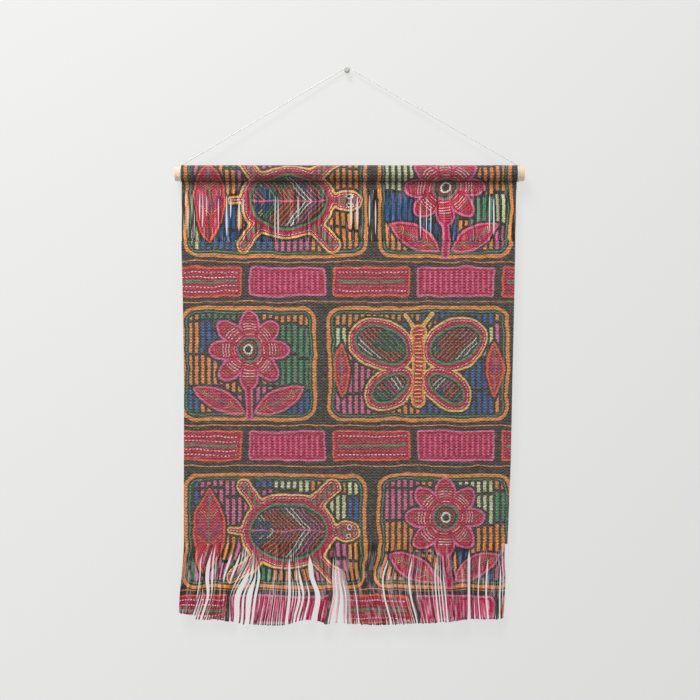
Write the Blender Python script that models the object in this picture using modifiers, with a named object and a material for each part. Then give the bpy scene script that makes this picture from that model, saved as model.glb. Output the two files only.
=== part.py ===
"""A printed cloth wall hanging: ribbed cotton on a wooden dowel, hung by a cord from a wall pin.

Metres, +Z up. The wall is the plane y = 0 and the hanging faces -Y. The origin is the centre of the
pin's flat back, on the wall.
"""

import math
import random
from collections import namedtuple

import bmesh
import bpy
import numpy as np
from mathutils import Vector

MM = 0.001
CLEARANCE = 0.3 * MM

# The dowel lies a little right of the pin, as the hanging has slipped along its cord.
DOWEL_RADIUS = 12.7 * MM
DOWEL_LENGTH = 626 * MM
DOWEL_EASE = 1.2 * MM
DOWEL_SIDES = 48
SHARP_ANGLE = math.radians(40)
DOWEL_CENTRE = Vector((4.7 * MM, -16.5 * MM, -188.8 * MM))

# The cloth is one sheet, folded over the dowel and sewn to itself just below it.
CLOTH_THICKNESS = 1.8 * MM
LAYER_GAP = 0.5 * MM
POCKET_TURN_RADIUS = 3 * MM
HEM_FLAP = 14 * MM
LAST_WEFT_Z = -853 * MM
FOLDS_START = 30 * MM
CLOTH_COLUMNS = 22
FRONT_ROWS = 20
FLAP_ROWS = 2
POCKET_STEPS = 20
TURN_STEPS = 3

# The cloth's side edges, which draw in towards the fringe: z and the x of each side.
Edge = namedtuple("Edge", "z left right")
CLOTH_EDGES = [
    Edge(-171 * MM, -295.8 * MM, 304.6 * MM),
    Edge(-321 * MM, -296.3 * MM, 300.4 * MM),
    Edge(-420 * MM, -294.2 * MM, 299.0 * MM),
    Edge(-573 * MM, -291.9 * MM, 295.8 * MM),
    Edge(-705 * MM, -292.2 * MM, 292.4 * MM),
    Edge(-853 * MM, -292.2 * MM, 286.6 * MM),
]

# Soft folds that run down the cloth: where, how wide, and how far they stand out at top and foot.
Fold = namedtuple("Fold", "x half_width top foot")
CLOTH_FOLDS = [
    Fold(-262 * MM, 42 * MM, 0.6 * MM, 4.0 * MM),
    Fold(-176 * MM, 60 * MM, -0.8 * MM, -2.6 * MM),
    Fold(-62 * MM, 74 * MM, 1.0 * MM, 3.2 * MM),
    Fold(58 * MM, 66 * MM, -0.6 * MM, -2.8 * MM),
    Fold(164 * MM, 70 * MM, 1.2 * MM, 3.0 * MM),
    Fold(258 * MM, 44 * MM, -0.4 * MM, -3.4 * MM),
]

# The fringe is the bare warp below the last weft, held by a narrow woven strip.
STRIP_HEIGHT = 4 * MM
FRINGE_LEFT = -292.2 * MM
FRINGE_RIGHT = 282.5 * MM
STRANDS = 120
STRAND_FILL = 0.7
STRAND_SHARES = (0.16, 0.36, 0.58, 0.8, 1.0)
GAP_OPENS_OVER = 25 * MM
LOCK_LIFT = 3.5 * MM
LOCK_SEED = 7

# How far below the last weft the paths in the next two tables are given.
PATH_DROPS = (0.0, 30 * MM, 60 * MM, 90 * MM, 132 * MM)

# The fringe's two sides, as x at each of those drops, in millimetres.
FRINGE_LEFT_PATH = (-292.2, -293.5, -296.0, -299.0, -301.5)
FRINGE_RIGHT_PATH = (282.5, 281.8, 281.5, 280.5, 279.0)

# The gaps between locks, in millimetres: x at each of those drops, the drop at which the gap opens,
# its full width, and the drop at which its two locks meet again, where they do.
OPEN_TO_THE_FOOT = 200
Gap = namedtuple("Gap", "path opens width closes")
FRINGE_GAPS = [
    Gap((-252.5, -261.0, -262.5, -267.0, -280.0), 7, 3.0, 112),
    Gap((-241.0, -249.5, -253.5, -251.0, -262.5), 16, 4.8, OPEN_TO_THE_FOOT),
    Gap((-234.0, -235.5, -237.0, -239.5, -252.5), 10, 2.7, OPEN_TO_THE_FOOT),
    Gap((-202.5, -212.0, -221.5, -223.0, -226.5), 9, 5.9, 80),
    Gap((-187.5, -197.0, -208.0, -214.5, -218.0), 10, 4.8, 82),
    Gap((-175.0, -177.5, -193.0, -207.0, -209.0), 40, 4.1, OPEN_TO_THE_FOOT),
    Gap((-168.5, -170.5, -180.0, -194.5, -197.0), 44, 9.6, OPEN_TO_THE_FOOT),
    Gap((-164.0, -165.0, -168.0, -178.5, -181.0), 57, 6.6, OPEN_TO_THE_FOOT),
    Gap((-160.0, -160.5, -158.5, -164.0, -169.5), 32, 5.4, OPEN_TO_THE_FOOT),
    Gap((-147.5, -148.0, -150.0, -154.5, -162.5), 78, 2.3, OPEN_TO_THE_FOOT),
    Gap((-102.5, -103.0, -103.0, -103.0, -107.0), 20, 4.8, OPEN_TO_THE_FOOT),
    Gap((-93.0, -93.0, -92.0, -86.0, -94.5), 70, 2.7, OPEN_TO_THE_FOOT),
    Gap((-88.0, -86.5, -82.0, -77.0, -86.5), 45, 3.6, OPEN_TO_THE_FOOT),
    Gap((-81.0, -79.5, -74.0, -67.0, -75.0), 54, 3.6, OPEN_TO_THE_FOOT),
    Gap((-67.0, -65.5, -62.5, -52.0, -57.0), 16, 10.7, OPEN_TO_THE_FOOT),
    Gap((-24.5, -23.5, -25.0, -23.5, -32.5), 14, 2.7, OPEN_TO_THE_FOOT),
    Gap((-17.0, -15.0, -10.5, -4.5, -4.5), 52, 5.4, OPEN_TO_THE_FOOT),
    Gap((4.5, 5.5, 9.0, 14.5, 19.5), 55, 2.9, OPEN_TO_THE_FOOT),
    Gap((76.0, 73.0, 64.5, 66.5, 77.0), 20, 4.4, OPEN_TO_THE_FOOT),
    Gap((118.0, 116.0, 111.5, 114.0, 124.0), 18, 3.0, OPEN_TO_THE_FOOT),
    Gap((159.0, 158.0, 156.5, 158.0, 162.0), 26, 2.7, OPEN_TO_THE_FOOT),
    Gap((218.0, 218.0, 218.0, 218.0, 218.0), 5, 5.7, OPEN_TO_THE_FOOT),
    Gap((242.0, 239.5, 238.0, 237.0, 240.5), 7, 3.6, OPEN_TO_THE_FOOT),
    Gap((255.5, 254.0, 251.5, 251.0, 254.0), 21, 3.6, OPEN_TO_THE_FOOT),
    Gap((276.0, 276.0, 276.0, 275.0, 274.5), 34, 2.7, OPEN_TO_THE_FOOT),
]

# Where the fringe was trimmed, in millimetres: x, and how long the locks are there.
Foot = namedtuple("Foot", "x drop")
FRINGE_FEET = [
    Foot(-302, 118), Foot(-275, 122.5), Foot(-269, 130), Foot(-236, 130), Foot(-220, 133),
    Foot(-200, 134.5), Foot(-182, 138.5), Foot(-123, 141.5), Foot(-105, 139), Foot(-87, 133),
    Foot(-62, 130), Foot(-48, 132), Foot(-37, 138), Foot(-16, 136), Foot(5, 138.5),
    Foot(59, 141), Foot(112, 137.5), Foot(178, 134.5), Foot(207, 130), Foot(280, 129.5),
]

# The pin, turned about the Y axis, in millimetres: distance from the wall and radius.
PIN_NECK = 3.7
PIN_PROFILE = [
    (0.0, 0.0), (0.0, 4.6), (1.6, 4.8), (2.8, 4.0), (4.0, PIN_NECK), (8.0, PIN_NECK),
    (9.0, 4.2), (9.8, 5.0), (12.6, 5.0), (13.6, 4.5), (14.2, 3.2), (14.2, 0.0),
]
PIN_SIDES = 32

# The cord bears on the pin's neck and is tied round the dowel at each edge of the cloth.
CORD_RADIUS = 1.0 * MM
CORD_ON_PIN_Y = -6 * MM
CORD_BEND_RADIUS = PIN_NECK * MM + CLEARANCE + CORD_RADIUS
CORD_WRAP_ANGLES = (119.0, 104.5, 90.0, 75.5, 61.0)
CORD_SHARES_OF_RUN = (0.0, 0.05, 0.2, 0.4, 0.6, 0.8, 0.92, 0.97, 0.99)
CORD_POINTS_A_SPAN = 3
LOOP_FROM_CLOTH = 1.6 * MM
LOOP_RADIUS = DOWEL_RADIUS + CLEARANCE + CORD_RADIUS
LOOP_STEPS = 36
KNOT_RADIUS = 2.2 * MM
KNOT_SEAT = 0.6

CLOTH_COLOUR = (0.24, 0.045, 0.075)
FRINGE_COLOUR = (0.38, 0.09, 0.14)
WOOD_COLOUR = (0.72, 0.55, 0.36)
CORD_COLOUR = (0.80, 0.79, 0.75)
PIN_COLOUR = (0.74, 0.70, 0.58)


def empty_scene():
    """Removes what the file opened with and gives the collection for the hanging."""
    for leftover in list(bpy.data.objects):
        bpy.data.objects.remove(leftover, do_unlink=True)
    home = bpy.data.collections.new("wall_hanging")
    bpy.context.scene.collection.children.link(home)
    return home


def plain_material(name, colour, roughness):
    """A Principled material of one colour."""
    material = bpy.data.materials.new(name)
    material.use_nodes = True
    shader = material.node_tree.nodes["Principled BSDF"]
    shader.inputs["Base Color"].default_value = (*colour, 1.0)
    shader.inputs["Roughness"].default_value = roughness
    shader.inputs["Metallic"].default_value = 0.0
    return material


def add_object(home, name, data, material):
    """Places a mesh or curve in the hanging's collection under its own name."""
    piece = bpy.data.objects.new(name, data)
    piece.data.materials.append(material)
    home.objects.link(piece)
    return piece


def smooth_ramp(value):
    """0 before 0, 1 after 1 and a soft S between."""
    value = min(max(value, 0.0), 1.0)
    return value * value * (3.0 - 2.0 * value)


def cloth_sides(z):
    """The cloth's left and right x at a height. Above the first row of the table they run straight."""
    heights = [edge.z for edge in reversed(CLOTH_EDGES)]
    left = np.interp(z, heights, [edge.left for edge in reversed(CLOTH_EDGES)])
    right = np.interp(z, heights, [edge.right for edge in reversed(CLOTH_EDGES)])
    return float(left), float(right)


def fold_height(x, z):
    """How far the hanging cloth stands out of its plane, towards the viewer."""
    below = DOWEL_CENTRE.z - DOWEL_RADIUS - z
    share = smooth_ramp(below / (DOWEL_CENTRE.z - LAST_WEFT_Z))
    start = smooth_ramp((below - FOLDS_START) / FOLDS_START)
    height = 0.0
    for fold in CLOTH_FOLDS:
        reach = (x - fold.x) / fold.half_width
        crest = fold.top + (fold.foot - fold.top) * share
        height += crest * math.exp(-reach * reach)
    return height * start


def arc_points(centre, radius, first, last, steps):
    """Points along an arc, both ends included, with angles in degrees."""
    angles = np.radians(np.linspace(first, last, steps + 1))
    return [(centre[0] + radius * math.cos(a), centre[1] + radius * math.sin(a)) for a in angles]


def cloth_profile():
    """The sheet's middle line in section, as (out, up) from the dowel's axis.

    It starts at the raw edge of the flap behind the seam, goes up round the dowel and comes down in
    front to the last weft.
    """
    around = DOWEL_RADIUS + CLEARANCE + CLOTH_THICKNESS / 2
    apart = (CLOTH_THICKNESS + LAYER_GAP) / 2
    turn_out = apart + POCKET_TURN_RADIUS
    turn_down = math.sqrt((around + POCKET_TURN_RADIUS) ** 2 - turn_out**2)
    meets = math.degrees(math.atan2(-turn_down, turn_out))
    flap = [(-apart, -turn_down - HEM_FLAP * (1 - i / FLAP_ROWS)) for i in range(FLAP_ROWS)]
    back_turn = arc_points((-turn_out, -turn_down), POCKET_TURN_RADIUS, 0.0, -meets, TURN_STEPS)
    over = arc_points((0.0, 0.0), around, 180.0 - meets, meets, POCKET_STEPS)
    front_turn = arc_points((turn_out, -turn_down), POCKET_TURN_RADIUS, 180.0 + meets, 180.0, TURN_STEPS)
    foot = LAST_WEFT_Z - DOWEL_CENTRE.z
    front = [(apart, -turn_down + (foot + turn_down) * i / FRONT_ROWS) for i in range(1, FRONT_ROWS + 1)]
    return flap + back_turn + over[1:-1] + front_turn + front


def build_panel(home):
    """The woven cloth with its rod pocket: an open sheet, thickened."""
    profile = cloth_profile()
    sheet = bmesh.new()
    bmesh.ops.create_grid(
        sheet, x_segments=CLOTH_COLUMNS, y_segments=len(profile) - 1, size=0.5
    )
    front_begins = len(profile) - FRONT_ROWS - 1
    for vertex in sheet.verts:
        across = vertex.co.x + 0.5
        row = round((vertex.co.y + 0.5) * (len(profile) - 1))
        out, up = profile[row]
        z = DOWEL_CENTRE.z + up
        left, right = cloth_sides(z)
        if row < front_begins:
            left, right = cloth_sides(CLOTH_EDGES[0].z)
        x = left + (right - left) * across
        if row >= front_begins:
            out += fold_height(x, z)
        vertex.co = (x, DOWEL_CENTRE.y - out, z)
    bmesh.ops.recalc_face_normals(sheet, faces=sheet.faces)
    mesh = bpy.data.meshes.new("panel")
    sheet.to_mesh(mesh)
    sheet.free()
    mesh.shade_smooth()
    panel = add_object(home, "panel", mesh, plain_material("printed_cotton", CLOTH_COLOUR, 0.9))
    thicken = panel.modifiers.new("cloth_thickness", "SOLIDIFY")
    thicken.thickness = CLOTH_THICKNESS
    thicken.offset = 0.0
    thicken.use_even_offset = True
    return panel


def gap_opening(gap, drop):
    """A gap's open width at a drop below the last weft."""
    opened = smooth_ramp((drop - gap.opens * MM) / GAP_OPENS_OVER)
    closed = smooth_ramp((gap.closes * MM - drop) / GAP_OPENS_OVER)
    return gap.width * MM * opened * closed


def curtain_x(root_x, drop):
    """Where a warp that leaves the cloth at root_x hangs at a drop, between its lock's two gaps."""
    roots = [FRINGE_LEFT]
    places = [np.interp(drop, PATH_DROPS, FRINGE_LEFT_PATH) * MM]
    for gap in FRINGE_GAPS:
        middle = np.interp(drop, PATH_DROPS, gap.path) * MM
        half = gap_opening(gap, drop) / 2
        roots += [gap.path[0] * MM - CLEARANCE, gap.path[0] * MM + CLEARANCE]
        places += [middle - half, middle + half]
    roots.append(FRINGE_RIGHT)
    places.append(np.interp(drop, PATH_DROPS, FRINGE_RIGHT_PATH) * MM)
    return float(np.interp(root_x, roots, places))


def strand_length(root_x):
    """How far a strand hangs below the last weft, from where its foot comes to lie."""
    foot_x = curtain_x(root_x, PATH_DROPS[-1]) / MM
    places, drops = zip(*FRINGE_FEET)
    return float(np.interp(foot_x, places, drops)) * MM


def build_fringe(home):
    """The strip under the last weft, with every second cell of it drawn down into a strand."""
    chance = random.Random(LOCK_SEED)
    pitch = (FRINGE_RIGHT - FRINGE_LEFT) / STRANDS
    strand_width = pitch * STRAND_FILL
    middle_y = DOWEL_CENTRE.y - (CLOTH_THICKNESS + LAYER_GAP) / 2
    strip_top = LAST_WEFT_Z - CLEARANCE
    strip_foot = strip_top - STRIP_HEIGHT

    fringe = bmesh.new()
    bmesh.ops.create_grid(fringe, x_segments=2 * STRANDS - 1, y_segments=1, size=0.5)
    for vertex in fringe.verts:
        column = round((vertex.co.x + 0.5) * (2 * STRANDS - 1))
        strand, far_side = divmod(column, 2)
        x = FRINGE_LEFT + pitch * (strand + 0.5) + strand_width * (far_side - 0.5)
        side = CLOTH_THICKNESS / 2 if vertex.co.y > 0 else -CLOTH_THICKNESS / 2
        vertex.co = (x, middle_y - fold_height(x, LAST_WEFT_Z) + side, strip_foot)
    under = sorted(fringe.faces, key=lambda face: face.calc_center_median().x)
    cells = under[0::2]
    raised = bmesh.ops.extrude_face_region(fringe, geom=under, use_keep_orig=True)
    for item in raised["geom"]:
        if isinstance(item, bmesh.types.BMVert):
            item.co.z = strip_top

    roots = [cell.calc_center_median() for cell in cells]
    lengths = [strand_length(root.x) for root in roots]
    lifts = [chance.uniform(-LOCK_LIFT, LOCK_LIFT) for _ in FRINGE_GAPS] + [0.0]
    gap_roots = [gap.path[0] * MM for gap in FRINGE_GAPS]
    strand_lifts = [lifts[int(np.searchsorted(gap_roots, root.x))] for root in roots]
    for cell, root, length, lift in zip(cells, roots, lengths, strand_lifts):
        for share in STRAND_SHARES:
            cell = bmesh.ops.extrude_discrete_faces(fringe, faces=[cell])["faces"][0]
            hangs = STRIP_HEIGHT + (length - STRIP_HEIGHT) * share
            x = curtain_x(root.x, hangs)
            local_pitch = curtain_x(root.x + pitch / 2, hangs) - curtain_x(root.x - pitch / 2, hangs)
            half_width = min(local_pitch * STRAND_FILL, strand_width) / 2
            old_centre = cell.calc_center_median()
            for vertex in cell.verts:
                side_x = half_width if vertex.co.x > old_centre.x else -half_width
                side_y = CLOTH_THICKNESS / 2 if vertex.co.y > old_centre.y else -CLOTH_THICKNESS / 2
                vertex.co = (x + side_x, root.y - lift * share * share + side_y, LAST_WEFT_Z - hangs)
    bmesh.ops.recalc_face_normals(fringe, faces=fringe.faces)
    mesh = bpy.data.meshes.new("fringe")
    fringe.to_mesh(mesh)
    fringe.free()
    return add_object(home, "fringe", mesh, plain_material("warp_fringe", FRINGE_COLOUR, 0.9))


def build_dowel(home):
    """A plain round rod with eased ends."""
    rod = bmesh.new()
    bmesh.ops.create_cone(
        rod, cap_ends=True, segments=DOWEL_SIDES,
        radius1=DOWEL_RADIUS, radius2=DOWEL_RADIUS, depth=DOWEL_LENGTH
    )
    mesh = bpy.data.meshes.new("dowel")
    rod.to_mesh(mesh)
    rod.free()
    mesh.shade_smooth()
    mesh.set_sharp_from_angle(angle=SHARP_ANGLE)
    dowel = add_object(home, "dowel", mesh, plain_material("softwood", WOOD_COLOUR, 0.6))
    dowel.location = DOWEL_CENTRE
    dowel.rotation_euler = (0.0, math.radians(90), 0.0)
    ease = dowel.modifiers.new("eased_ends", "BEVEL")
    ease.width = DOWEL_EASE
    ease.segments = 2
    ease.angle_limit = SHARP_ANGLE
    return dowel


def build_pin(home):
    """The pin: a flat back on the wall, a neck for the cord and a round head."""
    profile = bpy.data.meshes.new("wall_pin")
    points = [(radius * MM, -distance * MM, 0.0) for distance, radius in reversed(PIN_PROFILE)]
    profile.from_pydata(points, [(i, i + 1) for i in range(len(points) - 1)], [])
    pin = add_object(home, "wall_pin", profile, plain_material("cream_plastic", PIN_COLOUR, 0.4))
    turn = pin.modifiers.new("turned", "SCREW")
    turn.axis = "Y"
    turn.steps = PIN_SIDES
    turn.render_steps = PIN_SIDES
    turn.use_merge_vertices = True
    turn.merge_threshold = 0.01 * MM
    turn.use_normal_calculate = True
    turn.use_smooth_shade = True
    return pin


def loop_x(side):
    """The x of the cord's loop at one end of the dowel: side is -1 at the left and 1 at the right."""
    left, right = cloth_sides(CLOTH_EDGES[0].z)
    cloth_edge = left if side < 0 else right
    return cloth_edge + side * (LOOP_FROM_CLOTH + CORD_RADIUS)


def knot_centre(side):
    """The middle of the knot that sits on top of a loop."""
    return Vector((loop_x(side), DOWEL_CENTRE.y, DOWEL_CENTRE.z + LOOP_RADIUS + KNOT_RADIUS * KNOT_SEAT))


def build_loop(home, name, side, material):
    """One tied end of the cord: a ring round the dowel joined to its knot."""
    bpy.ops.mesh.primitive_torus_add(
        major_radius=LOOP_RADIUS, minor_radius=CORD_RADIUS, major_segments=LOOP_STEPS, minor_segments=8,
        location=(loop_x(side), DOWEL_CENTRE.y, DOWEL_CENTRE.z), rotation=(0.0, math.radians(90), 0.0)
    )
    ring = bpy.context.object
    bpy.ops.mesh.primitive_uv_sphere_add(
        segments=12, ring_count=8, radius=KNOT_RADIUS, location=knot_centre(side)
    )
    knot = bpy.context.object
    join = ring.modifiers.new("tied", "BOOLEAN")
    join.operation = "UNION"
    join.solver = "EXACT"
    join.object = knot
    joined = bpy.data.meshes.new_from_object(ring.evaluated_get(bpy.context.evaluated_depsgraph_get()))
    joined.transform(ring.matrix_world)
    joined.materials.clear()
    joined.name = name
    bpy.data.objects.remove(ring, do_unlink=True)
    bpy.data.objects.remove(knot, do_unlink=True)
    joined.shade_smooth()
    return add_object(home, name, joined, material)


def cord_route():
    """The cord's own points, from the left knot over the pin's neck to the right knot."""
    over_pin = []
    for angle in np.radians(CORD_WRAP_ANGLES):
        across, up = CORD_BEND_RADIUS * math.cos(angle), CORD_BEND_RADIUS * math.sin(angle)
        over_pin.append(Vector((across, CORD_ON_PIN_Y, up)))

    def run(side, pin_end):
        knot = knot_centre(side)
        away = (pin_end - knot).normalized()
        start = knot + away * (KNOT_RADIUS + CLEARANCE)
        return [start.lerp(pin_end, share) for share in CORD_SHARES_OF_RUN]

    left_run = run(-1, over_pin[0])
    right_run = run(1, over_pin[-1])
    return left_run + over_pin + list(reversed(right_run))


def through_points(points, points_a_span):
    """A smooth curve read through hand-set points, where each slope weighs its two chords by nearness."""
    chords = [after - before for before, after in zip(points, points[1:])]
    slopes = [chords[0].normalized()]
    for before, after in zip(chords, chords[1:]):
        lengths = before.length + after.length
        slopes.append(
            before.normalized() * (after.length / lengths)
            + after.normalized() * (before.length / lengths)
        )
    slopes.append(chords[-1].normalized())
    smooth = []
    for i, chord in enumerate(chords):
        for step in range(points_a_span):
            t = step / points_a_span
            smooth.append(
                points[i] * (2 * t**3 - 3 * t**2 + 1)
                + slopes[i] * chord.length * (t**3 - 2 * t**2 + t)
                + points[i + 1] * (3 * t**2 - 2 * t**3)
                + slopes[i + 1] * chord.length * (t**3 - t**2)
            )
    smooth.append(points[-1])
    return smooth


def build_cord(home, material):
    """The taut cord, a plain tube along its route."""
    points = through_points(cord_route(), CORD_POINTS_A_SPAN)
    line = bpy.data.curves.new("hanging_cord", "CURVE")
    line.dimensions = "3D"
    line.twist_mode = "Z_UP"
    spline = line.splines.new("POLY")
    spline.points.add(len(points) - 1)
    for place, point in zip(spline.points, points):
        place.co = (*point, 1.0)
    line.bevel_depth = CORD_RADIUS
    line.bevel_resolution = 2
    line.use_fill_caps = True
    return add_object(home, "hanging_cord", line, material)


def main():
    home = empty_scene()
    build_panel(home)
    build_fringe(home)
    build_dowel(home)
    build_pin(home)
    cord_material = plain_material("white_cord", CORD_COLOUR, 0.85)
    build_loop(home, "cord_loop_left", -1, cord_material)
    build_loop(home, "cord_loop_right", 1, cord_material)
    build_cord(home, cord_material)


main()
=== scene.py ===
"""A printed cotton wall hanging with a warp fringe, on a wooden dowel that a cord hangs on a pin.

Metres, +Z up. The wall is the plane y = 0 and the hanging faces -Y. The origin is the centre of the
pin's flat back, on the wall.
"""

import math
from collections import namedtuple

import bmesh
import bpy
import numpy as np
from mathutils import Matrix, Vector


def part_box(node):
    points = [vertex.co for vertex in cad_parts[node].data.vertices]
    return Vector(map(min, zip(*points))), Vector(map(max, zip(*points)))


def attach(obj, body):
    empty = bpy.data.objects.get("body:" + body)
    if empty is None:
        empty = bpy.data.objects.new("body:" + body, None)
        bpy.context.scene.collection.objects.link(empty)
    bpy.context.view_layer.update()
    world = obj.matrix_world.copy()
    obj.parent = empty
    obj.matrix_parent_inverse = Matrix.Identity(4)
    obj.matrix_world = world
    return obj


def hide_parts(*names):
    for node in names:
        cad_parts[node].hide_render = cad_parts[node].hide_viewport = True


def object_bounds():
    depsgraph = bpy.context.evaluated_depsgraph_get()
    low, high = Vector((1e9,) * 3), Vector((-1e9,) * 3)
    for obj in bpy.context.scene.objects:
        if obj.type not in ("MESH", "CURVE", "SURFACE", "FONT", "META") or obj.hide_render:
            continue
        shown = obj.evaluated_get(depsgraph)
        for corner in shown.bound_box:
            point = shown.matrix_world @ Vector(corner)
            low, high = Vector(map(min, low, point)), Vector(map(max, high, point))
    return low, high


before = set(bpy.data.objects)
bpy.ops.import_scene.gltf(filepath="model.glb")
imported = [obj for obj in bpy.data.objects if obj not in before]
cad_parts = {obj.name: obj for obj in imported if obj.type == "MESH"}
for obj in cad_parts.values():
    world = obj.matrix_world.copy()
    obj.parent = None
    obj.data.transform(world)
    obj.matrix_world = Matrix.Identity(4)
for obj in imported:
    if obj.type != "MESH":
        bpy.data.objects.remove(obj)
packed_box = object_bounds()
MM = 0.001

# The room
# A plain pale wall stands right behind the hanging, and a plain floor lies well below it. The wall
# glows with painted light, brighter towards the upper left. It shows from the front only, so that
# the cloth's back can be looked at from behind it.
VIEW_WIDTH = 1.2495
SENSOR_WIDTH = 36.0
CAMERA_PLACE = Vector((0.0054, -2.62, -0.5047))
CLOTH_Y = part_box("panel")[0].y
HALF_WALL = 4.0
FLOOR_Z = packed_box[0].z - 0.75
WALL_COLOUR = (0.16, 0.16, 0.158)
# The wall's painted glow, and how that painted light falls off across the wall.
WALL_PAINTED_GLOW = 0.669
WALL_PAINTED_LIGHT_FALL = (-0.050, 0.0, 0.037)
FLOOR_COLOUR = (0.72, 0.72, 0.71)
MOTTLE_SCALE = 1.3
MOTTLE_DARKER = 0.985
ROOM_LIGHT = (0.985, 0.99, 1.0, 1.0)
ROOM_LIGHT_STRENGTH = 0.48
LAMP_PLACE = Vector((-0.8, -1.7, 2.1))
LAMP_AIM = Vector((0.0, 0.0, -0.45))
LAMP_SIZE = 1.2
LAMP_WATTS = 80.0
LAMP_COLOUR = (1.0, 0.985, 0.965)


def in_scene(name, data):
    """A new object of the scene with its mesh, camera or light."""
    thing = bpy.data.objects.new(name, data)
    bpy.context.scene.collection.objects.link(thing)
    return thing


def add_node(tree, kind, inputs=None, **settings):
    """One shader node. An input takes a plain value, or is joined to another node's output."""
    node = tree.nodes.new("ShaderNode" + kind)
    for setting, value in settings.items():
        setattr(node, setting, value)
    for place, value in (inputs or {}).items():
        if isinstance(value, bpy.types.NodeSocket):
            tree.links.new(value, node.inputs[place])
        else:
            node.inputs[place].default_value = value
    return node


def mixed(tree, share, first, second, **settings):
    """One colour mixed into another by a share."""
    inputs = {0: share, 6: first, 7: second}
    return add_node(tree, "Mix", inputs, data_type="RGBA", **settings).outputs[2]


def matt_paint(name, colour):
    """Flat paint with a faint mottle: the material, its coat and its output."""
    paint = bpy.data.materials.new(name)
    paint.use_nodes = True
    tree = paint.node_tree
    tree.nodes.clear()
    mottle = add_node(tree, "TexNoise", {"Scale": MOTTLE_SCALE})
    darker = tuple(c * MOTTLE_DARKER for c in colour)
    tint = mixed(tree, mottle.outputs["Fac"], (*darker, 1.0), (*colour, 1.0))
    coat = add_node(tree, "BsdfDiffuse", {"Color": tint})
    return paint, coat, add_node(tree, "OutputMaterial", {"Surface": coat.outputs[0]})


def one_sided_paint():
    """The wall's paint, with a glow of painted light that fades slowly across the wall, and clear
    from behind.
    """
    paint, coat, out = matt_paint("wall_paint", WALL_COLOUR)
    tree = paint.node_tree
    side = add_node(tree, "NewGeometry")
    fall = add_node(
        tree, "VectorMath", {0: side.outputs["Position"], 1: WALL_PAINTED_LIGHT_FALL},
        operation="DOT_PRODUCT"
    )
    # Painted light: the glow, brighter towards the upper left and dimmer towards the lower right.
    level = add_node(tree, "Math", {0: fall.outputs["Value"], 1: WALL_PAINTED_GLOW}, operation="ADD")
    glow = add_node(tree, "Emission", {"Strength": level.outputs[0]})
    lit = add_node(tree, "AddShader", {0: coat.outputs[0], 1: glow.outputs[0]})
    clear = add_node(tree, "BsdfTransparent")
    choice = add_node(
        tree, "MixShader", {0: side.outputs["Backfacing"], 1: lit.outputs[0], 2: clear.outputs[0]}
    )
    tree.links.new(choice.outputs[0], out.inputs["Surface"])
    return paint


def mesh_of(name, points, faces, material):
    """A mesh in one material."""
    mesh = bpy.data.meshes.new(name)
    mesh.from_pydata(points, [], faces)
    mesh.materials.append(material)
    return mesh


def flat_board(name, far_edge, paint):
    """One flat rectangle of the room, from the y and z of one long edge to those of the other."""
    corners = [(x, y, z) for (y, z), xs in zip(far_edge, ((-1, 1), (1, -1))) for x in xs]
    corners = [(x * HALF_WALL, y, z) for x, y, z in corners]
    board = in_scene(name, mesh_of(name, corners, [(0, 1, 2, 3)], paint))
    return board


camera_data = bpy.data.cameras.new("front_view")
camera_data.sensor_width = SENSOR_WIDTH
camera_data.lens = SENSOR_WIDTH * (CLOTH_Y - CAMERA_PLACE.y) / VIEW_WIDTH
camera = in_scene("front_view", camera_data)
camera.location = CAMERA_PLACE
camera.rotation_euler = (math.radians(90), 0.0, 0.0)
bpy.context.scene.camera = camera
bpy.context.scene.view_settings.view_transform = "Standard"

wall = flat_board("room_wall", ((0.0, FLOOR_Z), (0.0, HALF_WALL)), one_sided_paint())
for ray in ("diffuse", "glossy", "transmission", "shadow"):
    setattr(wall, "visible_" + ray, False)
flat_board(
    "room_floor", ((-HALF_WALL, FLOOR_Z), (HALF_WALL, FLOOR_Z)),
    matt_paint("floor_paint", FLOOR_COLOUR)[0]
)

room_air = bpy.data.worlds.new("soft_room_light")
room_air.use_nodes = True
air = room_air.node_tree.nodes["Background"]
air.inputs["Color"].default_value = ROOM_LIGHT
air.inputs["Strength"].default_value = ROOM_LIGHT_STRENGTH
bpy.context.scene.world = room_air

window_light = bpy.data.lights.new("window_light", "AREA")
window_light.size = LAMP_SIZE
window_light.energy = LAMP_WATTS
window_light.color = LAMP_COLOUR
lamp = in_scene("window_light", window_light)
lamp.location = LAMP_PLACE
lamp.rotation_euler = (LAMP_AIM - LAMP_PLACE).to_track_quat("-Z", "Y").to_euler()

# The hanging cord
# One thin white cotton cord, laid up from three plies. It is tied round the dowel at each edge of
# the cloth, and it runs taut over the pin's neck.
DOWEL_LOW, DOWEL_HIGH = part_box("dowel")
DOWEL_CENTRE = (DOWEL_LOW + DOWEL_HIGH) / 2
DOWEL_RADIUS = (DOWEL_HIGH.z - DOWEL_LOW.z) / 2
CLEARANCE = 0.3 * MM
CORD_RADIUS = 1.0 * MM
CORD_ON_PIN_Y = -6 * MM
PIN_NECK_RADIUS = 3.7
CORD_BEND_RADIUS = PIN_NECK_RADIUS * MM + CLEARANCE + CORD_RADIUS
CORD_WRAP_ANGLES = (119.0, 104.5, 90.0, 75.5, 61.0)
CORD_SHARES_OF_RUN = (0.0, 0.05, 0.2, 0.4, 0.6, 0.8, 0.92, 0.97, 0.99)
LOOP_RADIUS = DOWEL_RADIUS + CLEARANCE + CORD_RADIUS
LOOP_X = {-1: -298.4 * MM, 1: 307.2 * MM}
KNOT_RADIUS = 2.2 * MM
KNOT_RISE = LOOP_RADIUS + KNOT_RADIUS * 0.6
HITCH_REACH = 1.15 * MM
HITCH_DEPTH = 0.75 * MM
PLIES = 3
LAY_TURN_LENGTH = 5.5 * MM
LAY_STEP = 0.6 * MM
LAY_DEPTH = 0.11
CORD_SIDES = 12


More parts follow.
